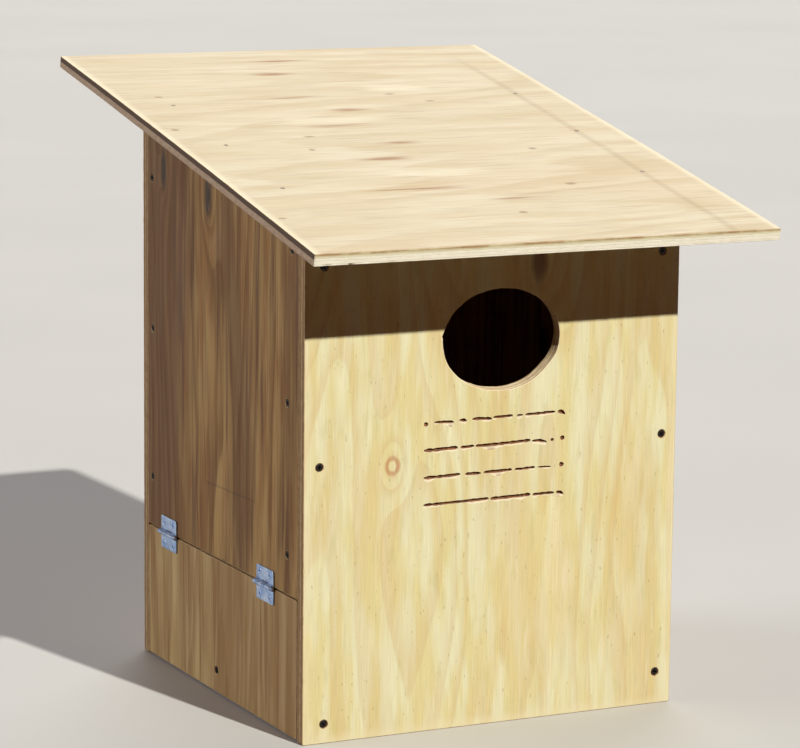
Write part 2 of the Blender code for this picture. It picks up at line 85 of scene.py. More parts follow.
HINGE_LEAF = 0.0012
LEAF_EASE = 0.00025
LEAF_CORNER = 0.0022
TONGUE_SHORT = 0.0010  # a leaf's tongue ends this far short of the pin's middle line
KNUCKLE_RADIUS = 0.0026
KNUCKLE_GAP = 0.0004
HINGE_PIN_RADIUS = 0.0010
PIN_HEAD_RADIUS = 0.0021
PIN_HEAD = 0.0014  # thickness of the pin's domed head

ENTRANCE_WIDTH = 0.119
ENTRANCE_HEIGHT = 0.093
ENTRANCE_ASIDE = 0.006  # how far right of the middle, and below the front's top edge, its middle is
ENTRANCE_DROP = 0.1155
GROOVE_DEPTH = 0.003
GROOVE_LENGTH = 0.145
GROOVE_PITCH = 0.0251
GROOVE_RISE = 0.0012  # how much higher each groove's right end is
GROOVES_ASIDE = 0.001  # how far right of the middle, and below the entrance, the first one is
GROOVES_DROP = 0.0256
BATTEN_EASE = 0.0012  # eased edges of the battens and the floor panel
FLOOR_EASE = 0.0004

# ---------------------------------------------------------------- places taken from the frame

FRONT_LOW, FRONT_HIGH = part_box("front_panel")
LEFT, RIGHT, FRONT_Y = FRONT_LOW.x, FRONT_HIGH.x, FRONT_LOW.y
BACK_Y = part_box("back_panel")[1].y
ROOF_LOW, ROOF_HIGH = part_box("roof_panel")
ROOF_BACK_TOP = ROOF_HIGH.y - ROOF_SHEET * math.sin(ROOF_SLOPE)
# The roof's top face, as its distance from the origin, square to the sheet.
ROOF_TOP = ROOF_HIGH.z * math.cos(ROOF_SLOPE) - ROOF_BACK_TOP * math.sin(ROOF_SLOPE)
ROOF_LENGTH = (ROOF_BACK_TOP - ROOF_LOW.y) / math.cos(ROOF_SLOPE)
DOWN_SQUARE = Vector((0, math.sin(ROOF_SLOPE), -math.cos(ROOF_SLOPE)))  # down through the roof sheet
FRONT_TOP = FRONT_HIGH.z - WALL * math.tan(ROOF_SLOPE)
ENTRANCE_MIDDLE = Vector((ENTRANCE_ASIDE, FRONT_TOP - ENTRANCE_DROP))
FIRST_GROOVE = Vector((GROOVES_ASIDE, ENTRANCE_MIDDLE.y - ENTRANCE_HEIGHT / 2 - GROOVES_DROP))
FRONT_RING = (LEFT + 0.0876, 0.2498)  # the reddish ring left of the grooves, as (x, z)
FRONT_KNOT = (0.044, 0.427)  # the dark knot under the eaves
HINGES = ("front", "rear")
ROOF_NAILS = sorted(name for name in NODES if name.startswith("roof_nail"))


def wall_top(y):
    """Height of the walls' sloping top edge."""
    return FRONT_HIGH.z + (y - FRONT_HIGH.y) * math.tan(ROOF_SLOPE)


# ---------------------------------------------------------------- finishes: the node tools


class Wire:
    """One output of a finish's nodes. Arithmetic on it adds Math nodes."""

    def __init__(self, finish, node, output):
        self.finish, self.node, self.socket = finish, node, node.outputs[output]

    def other(self, output):
        return Wire(self.finish, self.node, output)

    def __add__(self, right):
        return self.finish.math("ADD", self, right)

    def __radd__(self, left):
        return self.finish.math("ADD", left, self)

    def __sub__(self, right):
        return self.finish.math("SUBTRACT", self, right)

    def __rsub__(self, left):
        return self.finish.math("SUBTRACT", left, self)

    def __mul__(self, right):
        return self.finish.math("MULTIPLY", self, right)

    def __rmul__(self, left):
        return self.finish.math("MULTIPLY", left, self)

    def __truediv__(self, right):
        return self.finish.math("DIVIDE", self, right)

    def __rtruediv__(self, left):
        return self.finish.math("DIVIDE", left, self)


def paint(red, green, blue):
    """A colour from 0 to 255 a channel, as the linear value a shader takes."""
    channels = []
    for value in (red / 255, green / 255, blue / 255):
        channels.append(value / 12.92 if value <= 0.04045 else ((value + 0.055) / 1.055) ** 2.4)
    return (*channels, 1.0)


class Finish:
    """A material, and the means to add nodes to it."""

    def __init__(self, name, metallic=0.0, ior=1.45):
        self.material = bpy.data.materials.new(name)
        self.material.use_nodes = True
        self.tree = self.material.node_tree
        self.shader = self.tree.nodes["Principled BSDF"]
        self.shader.inputs["Metallic"].default_value = metallic
        self.shader.inputs["IOR"].default_value = ior

    def node(self, kind, settings=None, sockets=None, output=0):
        """A node of that kind. Its settings are set first, then its sockets' values and wires."""
        made = self.tree.nodes.new("ShaderNode" + kind)
        for name, value in (settings or {}).items():
            setattr(made, name, value)
        for key, value in (sockets or {}).items():
            if isinstance(value, Wire):
                self.tree.links.new(value.socket, made.inputs[key])
            else:
                made.inputs[key].default_value = value
        return Wire(self, made, output)

    def math(self, operation, a, b=0.0):
        return self.node("Math", {"operation": operation}, {0: a, 1: b})

    def least(self, *values):
        found = values[0]
        for value in values[1:]:
            found = self.math("MINIMUM", found, value)
        return found

    def own_place(self):
        """The piece's own coordinates, as three wires."""
        place = self.node("TexCoord", output="Object")
        parts = self.node("SeparateXYZ", sockets={0: place})
        return parts, parts.other("Y"), parts.other("Z")

    def own_normal(self):
        """How squarely the surface faces each axis, from 0 to 1, as three wires."""
        facing = self.node("TexCoord", output="Normal")
        parts = self.node("SeparateXYZ", sockets={0: facing})
        return [self.math("ABSOLUTE", part) for part in (parts, parts.other("Y"), parts.other("Z"))]

    def vector(self, x, y, z=0.0):
        return self.node("CombineXYZ", sockets={0: x, 1: y, 2: z})

    def cloud(self, x, y, z=0.0, detail=2.0, rough=0.5, twist=0.0):
        """Soft noise, about 0.25 to 0.75, at a point that is already scaled."""
        sockets = {"Vector": self.vector(x, y, z), "Scale": 1.0, "Detail": detail}
        sockets |= {"Roughness": rough, "Distortion": twist}
        return self.node("TexNoise", sockets=sockets)

    def fade(self, value, low, high, to_low=0.0, to_high=1.0):
        """Goes smoothly from to_low at low to to_high at high."""
        settings = {"interpolation_type": "SMOOTHSTEP", "clamp": True}
        sockets = {"Value": value, "From Min": low, "From Max": high}
        sockets |= {"To Min": to_low, "To Max": to_high}
        return self.node("MapRange", settings, sockets)

    def tint(self, amount, under, over):
        """The colour under, turned into the colour over by amount."""
        sockets = {0: amount, 6: under, 7: over}
        return self.node("Mix", {"data_type": "RGBA"}, sockets, output=2)

    def dim(self, colour, amount):
        """The colour made darker, or lighter where amount is over 1."""
        return self.node("VectorMath", {"operation": "SCALE"}, {0: colour, "Scale": amount})

    def spots(self, x, y, places, ragged=None):
        """Distance to the nearest of some ovals, 1 at an oval's rim. A place is (x, y, half
        width, half height)."""
        found = None
        for at_x, at_y, wide, high in places:
            sockets = {0: self.vector(x, y), 1: (1 / wide, 1 / high, 0)}
            sockets[2] = (-at_x / wide, -at_y / high, 0)
            scaled = self.node("VectorMath", {"operation": "MULTIPLY_ADD"}, sockets)
            near = self.node("VectorMath", {"operation": "LENGTH"}, {0: scaled}, output="Value")
            found = near if found is None else self.least(found, near)
        return found if ragged is None else found + ragged

    def finished(self, colour, roughness, height=None, relief=0.0002, strength=1.0):
        """Joins the colour, roughness and surface height to the shader."""
        self.tree.links.new(colour.socket, self.shader.inputs["Base Color"])
        self.tree.links.new(roughness.socket, self.shader.inputs["Roughness"])
        if height is not None:
            bump = self.node("Bump", sockets={"Strength": strength, "Distance": relief, "Height": height})
            self.tree.links.new(bump.socket, self.shader.inputs["Normal"])
        return self.material


# ---------------------------------------------------------------- finishes: wood


def veneer_figure(finish, across, along, seed, rings=16.0, wide=8.0, long=1.3, knots=()):
    """The growth rings, fibres and blotches of a peeled veneer, each from 0 to 1.

    wide and long are how many bends of the rings there are in a metre, across and along the
    grain. The rings close round each knot."""
    slow = finish.cloud(across * wide, along * long, seed, detail=1.5, rough=0.45)
    rise = slow * rings + across * 14.0
    for at_across, at_along, size in knots:
        near = finish.spots(across, along, [(at_across, at_along, size, size * 2.2)])
        rise = rise + 3.2 / (1.0 + near * near)
    wobble = finish.cloud(across * 60.0, along * 7.0, seed + 3.0, detail=2.0)
    ring = finish.math("FRACT", rise + wobble * 0.35)
    latewood = finish.fade(ring, 0.30, 0.90) * finish.fade(ring, 0.93, 1.0, 1.0, 0.0)
    fibres = finish.cloud(across * 900.0, along * 26.0, seed + 5.0, detail=3.0, rough=0.6)
    coarse = finish.cloud(across * 260.0, along * 9.0, seed + 7.0, detail=2.0)
    blotch = finish.cloud(across * 62.0, along * 8.5, seed + 9.0, detail=2.5, rough=0.55)
    return latewood, fibres, coarse, blotch


def edge_distance(finish, across, along, low, high, bottom, top):
    """How far a point of a face is from the nearest edge of its board."""
    return finish.least(across - low, high - across, along - bottom, top - along)


def front_veneer():
    """Sealed pale softwood face, grain upright: cream with yellow and orange streaks."""
    f = Finish("front_veneer")
    x, y, z = f.own_place()
    knots = ((*FRONT_RING, 0.011), (*FRONT_KNOT, 0.020))
    latewood, fibres, coarse, blotch = veneer_figure(f, x, z, 4.0, rings=15.0, knots=knots)
    broad = f.cloud(x * 17.0, z * 3.4, 21.0, detail=2.0)
    colour = f.tint(f.fade(blotch, 0.38, 0.62), paint(231, 226, 186), paint(225, 212, 154))
    colour = f.tint(f.fade(broad, 0.48, 0.70) * 0.50, colour, paint(222, 195, 134))
    colour = f.tint(latewood * 0.26, colour, paint(204, 162, 100))
    green = f.cloud(x * 90.0, z * 26.0, 31.0, detail=2.0)
    colour = f.tint(f.fade(green, 0.56, 0.72) * 0.35, colour, paint(206, 196, 138))
    streak = f.fade(f.cloud(x * 150.0, z * 10.0, 37.0, detail=2.0), 0.60, 0.74)
    colour = f.tint(streak * 0.40, colour, paint(240, 228, 194))
    ragged = (coarse - 0.5) * 0.5
    ring = f.spots(x, z, [(*FRONT_RING, 0.0062, 0.0072)], ragged)
    rim = f.fade(ring, 0.45, 0.80) * f.fade(ring, 1.0, 1.45, 1.0, 0.0)
    colour = f.tint(rim * 0.62, colour, paint(184, 116, 76))
    dark_knot = f.spots(x, z, [(*FRONT_KNOT, 0.008, 0.017)], ragged)
    colour = f.tint(f.fade(dark_knot, 0.5, 1.5, 0.85, 0.0), colour, paint(112, 62, 34))
    flecks = f.cloud(x * 420.0, z * 120.0, 41.0, detail=1.0)
    colour = f.tint(f.fade(flecks, 0.70, 0.76) * 0.40, colour, paint(150, 116, 66))
    # The top edge is under the roof and unworn, so it is put out of reach.
    rim_wear = edge_distance(f, x, z, LEFT, RIGHT, 0.0, 2.0)
    worn = f.fade(rim_wear + (broad - 0.5) * 0.012, 0.001, 0.012, 0.5, 0.0)
    colour = f.tint(worn, colour, paint(236, 222, 180))
    colour = f.dim(colour, 0.80 + fibres * 0.40)
    roughness = 0.56 + latewood * 0.08 + (coarse - 0.5) * 0.2
    return f.finished(colour, roughness, fibres * 0.5 + latewood * 0.35, relief=0.00022)


def roof_veneer():
    """Pale face with its grain across the box, a few reddish streaks and white patches."""
    f = Finish("roof_veneer")
    x, y, z = f.own_place()
    run = (y - ROOF_LOW.y) / math.cos(ROOF_SLOPE)
    latewood, fibres, coarse, blotch = veneer_figure(f, run, x, 54.0, rings=11.0, wide=7.0, long=1.1)
    broad = f.cloud(run * 9.0, x * 2.2, 61.0, detail=3.0)
    colour = f.tint(f.fade(blotch, 0.34, 0.66), paint(219, 207, 178), paint(213, 197, 162))
    colour = f.tint(f.fade(broad, 0.46, 0.70) * 0.45, colour, paint(214, 191, 154))
    colour = f.tint(latewood * 0.18, colour, paint(190, 162, 120))
    drawn = f.cloud(run * 330.0, x * 12.0, 67.0, detail=2.0)
    colour = f.tint(f.fade(drawn, 0.54, 0.70) * 0.45, colour, paint(190, 168, 132))
    # Places are (distance up the sheet, x, half of it up the sheet, half of it along the grain).
    reddish = [
        (0.580, -0.014, 0.0035, 0.020),
        (0.532, -0.042, 0.0040, 0.018),
        (0.448, -0.055, 0.0035, 0.024),
        (0.402, -0.018, 0.0040, 0.016),
        (0.353, -0.055, 0.0045, 0.030),
        (0.292, -0.013, 0.0040, 0.017),
        (0.245, -0.047, 0.0040, 0.017),
        (0.155, -0.055, 0.0035, 0.034),
        (0.118, 0.020, 0.0030, 0.022),
    ]
    streaked = f.spots(run, x, reddish, (coarse - 0.5) * 3.0 + (drawn - 0.5) * 3.0)
    colour = f.tint(f.fade(streaked, 0.2, 1.7, 0.80, 0.0), colour, paint(166, 120, 80))
    pale = [
        (0.372, -0.048, 0.016, 0.052),
        (0.195, -0.010, 0.014, 0.046),
        (0.470, 0.060, 0.010, 0.030),
    ]
    bleached = f.spots(run, x, pale, (broad - 0.5) * 3.0 + (drawn - 0.5) * 2.4)
    colour = f.tint(f.fade(bleached, 0.2, 1.5, 0.60, 0.0), colour, paint(236, 228, 202))
    specks = [
        (0.258, 0.111, 0.003, 0.004),
        (0.080, 0.009, 0.003, 0.004),
        (0.151, 0.095, 0.003, 0.005),
        (0.322, -0.093, 0.002, 0.005),
        (0.282, -0.108, 0.003, 0.003),
        (0.359, -0.214, 0.003, 0.004),
        (0.466, -0.188, 0.002, 0.004),
        (0.450, 0.051, 0.002, 0.005),
        (0.095, -0.220, 0.002, 0.004),
        (0.422, 0.082, 0.002, 0.005),
    ]
    dots = f.spots(run, x, specks, (coarse - 0.5) * 1.0)
    colour = f.tint(f.fade(dots, 0.5, 1.5, 0.65, 0.0), colour, paint(146, 112, 70))
    over_wall = f.math("ABSOLUTE", x - (RIGHT - WALL / 2) + (broad - 0.5) * 0.006)
    soft_line = f.fade(over_wall, 0.0005, 0.0070, 0.26, 0.0) * f.fade(broad, 0.20, 0.50, 0.5, 1.0)
    soft_line = soft_line * f.fade(run, 0.50, 0.60, 1.0, 0.0)
    colour = f.tint(soft_line, colour, paint(160, 134, 96))
    along_front = f.cloud(x * 34.0, run * 30.0, 71.0, detail=3.0, rough=0.6)
    front_wear = f.fade(run + (along_front - 0.5) * 0.006, 0.0, 0.0045, 0.85, 0.0)
    colour = f.tint(front_wear * f.fade(along_front, 0.38, 0.56), colour, paint(164, 122, 76))
    side_wear = f.least(x + ROOF_HIGH.x, ROOF_HIGH.x - x)
    colour = f.tint(f.fade(side_wear, 0.0015, 0.010, 0.65, 0.0), colour, paint(244, 234, 204))
    colour = f.dim(colour, 0.83 + fibres * 0.36)
    roughness = 0.60 + latewood * 0.08 + (coarse - 0.5) * 0.2
    return f.finished(colour, roughness, fibres * 0.5 + latewood * 0.4, relief=0.00025)


def side_veneer(name, seed, tones, marks=(), seams=(), shade=()):
    """Warmer upright face with bold rings and dark knots. tones are pale, warm, ring and knot.
    marks are dark ovals, and a seam is a faint level line as (height, start, end). shade darkens
    the face from one place across it to another, by an amount."""
    f = Finish(name)
    pale, warm, dark, knot = tones
    x, y, z = f.own_place()
    sideways = f.fade(f.own_normal()[0], 0.4, 0.6)
    across = x * (1.0 - sideways) + y * sideways
    knots = [(at, up, wide * 1.6) for at, up, wide, _ in marks if wide > 0.004]
    figure = veneer_figure(f, across, z, seed, rings=17.0, wide=9.0, long=0.8, knots=knots)
    latewood, fibres, coarse, blotch = figure
    broad = f.cloud(across * 15.0, z * 2.0, seed + 20.0, detail=2.0)
    colour = f.tint(f.fade(blotch, 0.36, 0.64), pale, warm)
    colour = f.tint(latewood * 0.50, colour, dark)
    colour = f.tint(f.fade(broad, 0.44, 0.66) * 0.60, colour, dark)
    streak = f.fade(f.cloud(across * 110.0, z * 4.0, seed + 25.0, detail=3.0), 0.52, 0.68)
    colour = f.tint(streak * 0.85, colour, dark)
    thin = f.fade(f.cloud(across * 330.0, z * 7.0, seed + 45.0, detail=2.0), 0.52, 0.66)
    colour = f.tint(thin * 0.45, colour, dark)
    ashen = f.fade(f.cloud(across * 75.0, z * 5.0, seed + 35.0, detail=2.0), 0.52, 0.66)
    colour = f.tint(ashen * 0.55, colour, pale)
    if shade:
        rearward = f.fade(across + (broad - 0.5) * 0.08, shade[0], shade[1], 0.0, shade[2])
        colour = f.tint(rearward, colour, dark)
    if marks:
        near = f.spots(across, z, marks, (coarse - 0.5) * 1.4)
        colour = f.tint(f.fade(near, 0.45, 1.5, 0.92, 0.0), colour, knot)
    for line_z, start, end in seams:
        off = f.math("ABSOLUTE", z - line_z + (across - start) * 0.02)
        along = f.fade(across, start, start + 0.02) * f.fade(across, end - 0.02, end, 1.0, 0.0)
        colour = f.tint(f.fade(off, 0.0002, 0.0016, 0.32, 0.0) * along, colour, knot)
    colour = f.dim(colour, 0.76 + fibres * 0.48)
    roughness = 0.60 + latewood * 0.08 + (coarse - 0.5) * 0.2
    return f.finished(colour, roughness, fibres * 0.5 + latewood * 0.4, relief=0.00025)


def sawn_marks(f, x, y, z, stretch=120.0):
    """Saw wander, fine lines and pits on a board's edge. stretch packs the lines closer in z."""
    wander = (f.cloud(x * 45.0, y * 45.0, z * 45.0, detail=2.0) - 0.5) * 0.0009
    lines = f.cloud(x * 120.0, y * 120.0, z * stretch, detail=4.0, rough=0.65)
    pits = f.cloud(x * 900.0, y * 900.0, z * 900.0, detail=2.0)
    return wander, lines, pits


def clear_of_glue(f, depth, glue_lines):
    """1 inside the layers, and 0 on the glue lines between them."""
    clear = 1.0
    for at in glue_lines:
        clear = f.fade(f.math("ABSOLUTE", depth - at), 0.0001, 0.0004) * clear
    return clear


def sawn_plies(name, depth_axis, face, tones):
    """The edge of a plywood wall, layer by layer. depth_axis is the axis through the board, 0 for
    x and 1 for y, and face the outer face's place on it. Layers that are cut across their grain
    are darker and pitted, and the others show fine lines."""
    f = Finish(name)
    pale, end_grain, glue = tones
    place = f.own_place()
    wander, lines, pits = sawn_marks(f, *place)
    depth = f.math("ABSOLUTE", place[depth_axis] - face) + wander
    cross_layer = 0.0
    for upper, lower in zip(WALL_PLIES[::2], WALL_PLIES[1::2]):
        below = f.fade(depth, upper - 0.0001, upper + 0.0001)
        above = f.fade(depth, lower - 0.0001, lower + 0.0001, 1.0, 0.0)
        cross_layer = below * above + cross_layer
    end_on = f.fade(f.own_normal()[2], 0.6, 0.8)
    cut_across = cross_layer * (1.0 - end_on) + (1.0 - cross_layer) * end_on
    colour = f.tint(cut_across * 0.85, pale, end_grain)
    colour = f.tint(f.fade(lines, 0.42, 0.66) * 0.5, colour, end_grain)
    colour = f.tint(f.fade(pits, 0.58, 0.70) * cut_across * 0.5, colour, glue)
    clear = clear_of_glue(f, depth, WALL_PLIES)
    colour = f.tint((1.0 - clear) * f.fade(lines, 0.30, 0.50, 0.35, 0.85), colour, glue)
    height = pits * cut_across + lines * 0.5 + clear * 0.5
    return f.finished(colour, 0.72 + (pits - 0.5) * 0.3, height, relief=0.0003)


def roof_edge_plies():
    """The roof sheet's edges: bright and scraped at the front and back, with a brown line under
    the arris, and darker at the sides, dark above and greyer below."""
    f = Finish("roof_edge")
    x, y, z = f.own_place()
    bow = (y * 2.0 - (ROOF_LOW.y + ROOF_HIGH.y)) / (ROOF_HIGH.y - ROOF_LOW.y)
    top = ROOF_TOP - bow * bow * ROOF_BOW
    wander, lines, pits = sawn_marks(f, x, y, z, 400.0)
    depth = top - (z * math.cos(ROOF_SLOPE) - y * math.sin(ROOF_SLOPE)) + wander
    broken = f.cloud(x * 30.0, y * 30.0, 8.0, detail=3.0, rough=0.6)
    front = f.tint(f.fade(lines, 0.42, 0.68) * 0.25, paint(254, 248, 228), paint(236, 224, 180))
    front = f.tint(f.fade(depth, 0.0020, 0.0050, 0.75, 0.0), front, paint(214, 204, 152))
    under_arris = f.fade(depth, 0.0008, 0.0032, 0.85, 0.0) * f.fade(broken, 0.34, 0.60, 0.25, 1.0)
    front = f.tint(under_arris, front, paint(164, 122, 78))
    side = f.tint(f.fade(lines, 0.40, 0.66) * 0.5, paint(216, 188, 158), paint(180, 150, 120))
    side = f.tint(f.fade(depth, 0.0044, 0.0054, 1.0, 0.0), side, paint(98, 76, 60))
    clear = clear_of_glue(f, depth, ROOF_PLIES)
    sideways = f.fade(f.own_normal()[0], 0.5, 0.8)
    glue = (1.0 - clear) * f.fade(lines, 0.30, 0.52, 0.04, 0.20)
    colour = f.tint(glue, f.tint(sideways, front, side), paint(124, 98, 66))
    colour = f.tint(f.fade(pits, 0.56, 0.70) * 0.15, colour, paint(134, 106, 76))
    height = pits * 0.6 + lines * 0.5 + clear * 0.3
    return f.finished(colour, 0.72 + (pits - 0.5) * 0.3, height, relief=0.00015)


def cut_wood(name, pale, dark, lip=None):
    """Raw wood inside a cut. Where lip is a colour, the wood facing up at the front face is
    painted it: a painted highlight on the cut's lower edge."""
    f = Finish(name)
    x, y, z = f.own_place()
    fibres = f.cloud(x * 300.0, y * 300.0, z * 60.0, detail=4.0, rough=0.65)
    lumps = f.cloud(x * 90.0, y * 90.0, z * 90.0, detail=2.0)
    colour = f.tint(f.fade(fibres, 0.35, 0.65), pale, dark)
    if lip:
        facing = f.node("TexCoord", output="Normal")
        up = f.node("SeparateXYZ", sockets={0: facing}, output="Z")
        # painted highlight: wood facing up at the face is lightened as if lit from above
        painted_highlight = f.fade(y - FRONT_Y, 0.0003, 0.0008, 0.80, 0.0) * f.fade(up, 0.02, 0.2)
        colour = f.tint(painted_highlight, colour, lip)
    colour = f.dim(colour, 0.8 + lumps * 0.4)
    return f.finished(colour, 0.75 + (fibres - 0.5) * 0.2, fibres + lumps, relief=0.0004)


def planed_pine(name):
    """Planed softwood battens, grain upright, with straight rings."""
    f = Finish(name)
    x, y, z = f.own_place()
    slow = f.cloud(x * 9.0, y * 9.0, z * 0.9, detail=2.0)
    ring = f.math("FRACT", slow * 9.0 + x * 90.0 + y * 160.0)
    latewood = f.fade(ring, 0.35, 0.92) * f.fade(ring, 0.94, 1.0, 1.0, 0.0)
    fibres = f.cloud(x * 900.0, y * 900.0, z * 24.0, detail=3.0, rough=0.6)
    blotch = f.cloud(x * 50.0, y * 50.0, z * 6.0, detail=2.0)
    colour = f.tint(f.fade(blotch, 0.36, 0.64), paint(222, 190, 138), paint(208, 168, 112))
    colour = f.tint(latewood * 0.55, colour, paint(168, 116, 66))
    colour = f.dim(colour, 0.9 + fibres * 0.2)
    return f.finished(colour, 0.62 + latewood * 0.1, fibres * 0.5 + latewood * 0.5)


def inner_veneer(name):
    """Unsealed face of the floor sheet, and its sawn edges, grain from side to side."""
    f = Finish(name)
    x, y, z = f.own_place()
    latewood, fibres, coarse, blotch = veneer_figure(f, y, x, 80.0, rings=14.0)
    colour = f.tint(f.fade(blotch, 0.36, 0.64), paint(214, 184, 134), paint(196, 158, 106))
    colour = f.tint(latewood * 0.5, colour, paint(160, 114, 68))
    depth = (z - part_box("floor_panel")[0].z) + (coarse - 0.5) * 0.0006
    layer = f.fade(f.math("PINGPONG", depth, 0.0028), 0.0010, 0.0018)
    edge_colour = f.tint(layer, paint(196, 160, 110), paint(150, 110, 68))
    colour = f.tint(f.fade(f.own_normal()[2], 0.5, 0.7, 1.0, 0.0), colour, edge_colour)
    colour = f.dim(colour, 0.9 + fibres * 0.2)
    return f.finished(colour, 0.68 + (coarse - 0.5) * 0.2, fibres * 0.5 + latewood * 0.4)


# ---------------------------------------------------------------- finishes: metal


def zinc_plate(name):
    """Bright zinc plating with a bluish cast, dulled and scuffed in places."""
    f = Finish(name, metallic=0.55)
    x, y, z = f.own_place()
    cast = f.cloud(x * 90.0, y * 90.0, z * 90.0, detail=3.0)
    dull = f.cloud(x * 240.0, y * 240.0, z * 240.0, detail=4.0, rough=0.6)
    scuff = f.cloud(x * 400.0, y * 1600.0, z * 120.0, detail=2.0)
    colour = f.tint(f.fade(cast, 0.38, 0.62), paint(192, 212, 240), paint(156, 184, 226))
    colour = f.tint(f.fade(dull, 0.55, 0.72) * 0.6, colour, paint(232, 236, 240))
    roughness = 0.30 + f.fade(dull, 0.40, 0.70) * 0.24 + (scuff - 0.5) * 0.2
    return f.finished(colour, roughness, dull + scuff * 0.4, relief=0.00005)


def blackened_steel(name, pale, dark, metal):
    """Screw or nail steel: dark phosphate or dull grey, with patches of rust bloom."""
    f = Finish(name, metallic=metal)
    x, y, z = f.own_place()
    grit = f.cloud(x * 1500.0, y * 1500.0, z * 1500.0, detail=3.0)
    rust = f.cloud(x * 500.0, y * 500.0, z * 500.0, detail=3.0, rough=0.6)
    colour = f.tint(f.fade(grit, 0.35, 0.65), dark, pale)
    colour = f.tint(f.fade(rust, 0.54, 0.68) * 0.6, colour, paint(92, 58, 38))
    return f.finished(colour, 0.42 + f.fade(rust, 0.5, 0.7) * 0.3, grit, relief=0.00005)


def studio_floor_finish():
    """Plain pale floor, a little uneven in tone."""
    f = Finish("studio_floor")
    x, y, z = f.own_place()
    soft = f.cloud(x * 1.3, y * 1.3, detail=3.0)
    colour = f.tint(soft, paint(205, 203, 199), paint(196, 195, 192))
    return f.finished(colour, 0.75 + soft * 0.1)


# ---------------------------------------------------------------- shapes


def circle(middle, radius, count=24, turn=0.0):
    """Points round a circle, anticlockwise."""
    u, v = middle
    angles = [turn + math.tau * i / count for i in range(count)]
    return [Vector((u + radius * math.cos(a), v + radius * math.sin(a))) for a in angles]


def stepped(corners, step=SAW_STEP, round_off=0.0018):
    """A closed line through the corners with points every step, its corners rounded a little."""
    points = []
    count = len(corners)
    for i in range(count):
        before, here, after = (Vector(corners[(i + k) % count]) for k in (-1, 0, 1))
        arrive, leave = (here - before).normalized(), (after - here).normalized()
        start, end = here - arrive * round_off, here + leave * round_off
        points += [start, (start + end) * 0.25 + here * 0.5, end]
        stop = after - leave * round_off
        parts = max(1, round((stop - end).length / step))
        points += [end.lerp(stop, k / parts) for k in range(1, parts)]
    return points


def outward(points):
    """At each point of an anticlockwise closed line, the direction out of it."""
    count = len(points)
    found = []
    for i in range(count):
        run = (points[(i + 1) % count] - points[i - 1]).normalized()
        found.append(Vector((run.y, -run.x)))
    return found


def sawn(points, sheet, glue_lines, seed, hole=False, saw=0.00012, chips=0.0006):
    """The rings of a sawn edge, from face to face: eased arrises that chip here and there, saw
    wander, and a fine groove at each glue line."""
    levels = [(0.0, ARRIS), (0.3 * ARRIS, 0.3 * ARRIS), (ARRIS, 0.0)]
    for line in glue_lines:
        levels += [(line - GLUE_GROOVE_HALF, 0.0), (line, GLUE_GROOVE_DEPTH)]
        levels += [(line + GLUE_GROOVE_HALF, 0.0)]
    levels += [(sheet - ARRIS, 0.0), (sheet - 0.3 * ARRIS, 0.3 * ARRIS), (sheet, ARRIS)]
    side = -1 if hole else 1
    normals = outward(points)
    rings = []
    for depth, inset in levels:
        at_arris = depth < 0.9 * ARRIS or depth > sheet - 0.9 * ARRIS
        ring = []
        for point, normal in zip(points, normals):
            where = Vector((point.x * 160, point.y * 160, seed + depth * 420))
            back = inset + saw * (1 + noise.noise(where))
            if at_arris:
                where = Vector((point.x * 70, point.y * 70, seed + 9 + round(depth * 100)))
                back += chips * max(0.0, noise.noise(where) - 0.30) * (inset / ARRIS)
            ring.append(point - side * normal * min(back, DEEPEST_CHIP))
        rings.append((depth, ring))
    return {"rings": rings, "hole": hole, "blind": False, "finish": EDGE}


def metal_outline(rings):
    """The outline of a metal piece, given by its own rings."""
    return {"rings": rings, "hole": False, "blind": False, "finish": FACE}


def pocket(rings, blind=False, finish=CUT):
    """A hole given by its own rings, such as a countersink or a groove."""
    return {"rings": rings, "hole": True, "blind": blind, "finish": finish}


def countersunk(middle, head, shank, sheet, seed):
    """A screw hole: torn rim, seat for the head, cone, then the shank's hole right through."""
    turn = seed * 1.7
    rim = []
    for i, point in enumerate(circle(middle, head + 0.0006, turn=turn)):
        torn = 0.0005 * (noise.noise(Vector((i * 0.9, seed, 2.0))) + 0.4)
        rim.append(point + (point - Vector(middle)).normalized() * torn)
    seat = circle(middle, head + 0.0002, turn=turn)
    cone = circle(middle, head, turn=turn)
    bore = circle(middle, shank + 0.0002, turn=turn)
    return pocket([(0.0, rim), (0.0004, seat), (0.0010, cone), (0.0032, bore), (sheet, bore)])


def inside(points, loops):
    """Which of the points lie in the board, by counting the sides a level ray crosses."""
    start = np.array([p for loop in loops for p in loop], float)
    end = np.array([p for loop in loops for p in loop[1:] + loop[:1]], float)
    px, py = points[:, :1], points[:, 1:]
    spans = (start[:, 1] > py) != (end[:, 1] > py)
    rise = np.where(end[:, 1] == start[:, 1], 1.0, end[:, 1] - start[:, 1])
    cross = start[:, 0] + (py - start[:, 1]) * (end[:, 0] - start[:, 0]) / rise
    return (spans & (px < cross)).sum(axis=1) % 2 == 1


def filled(loops, grid=()):
    """Triangles that fill between closed lines. Their numbers run through the lines' points, and
    then through the grid's."""
    points = [p for loop in loops for p in loop] + list(grid)
    edges, start = [], 0
    for loop in loops:
        count = len(loop)
        edges += [(start + i, start + (i + 1) % count) for i in range(count)]
        start += count
    made, _, faces, origin, _, _ = delaunay_2d_cdt(points, edges, [], 0, 1e-9)
    middles = np.array([np.mean([made[i][:] for i in face], axis=0) for face in faces])
    keep = inside(middles, loops)
    return [tuple(origin[i][0] for i in face) for face, kept in zip(faces, keep) if kept]


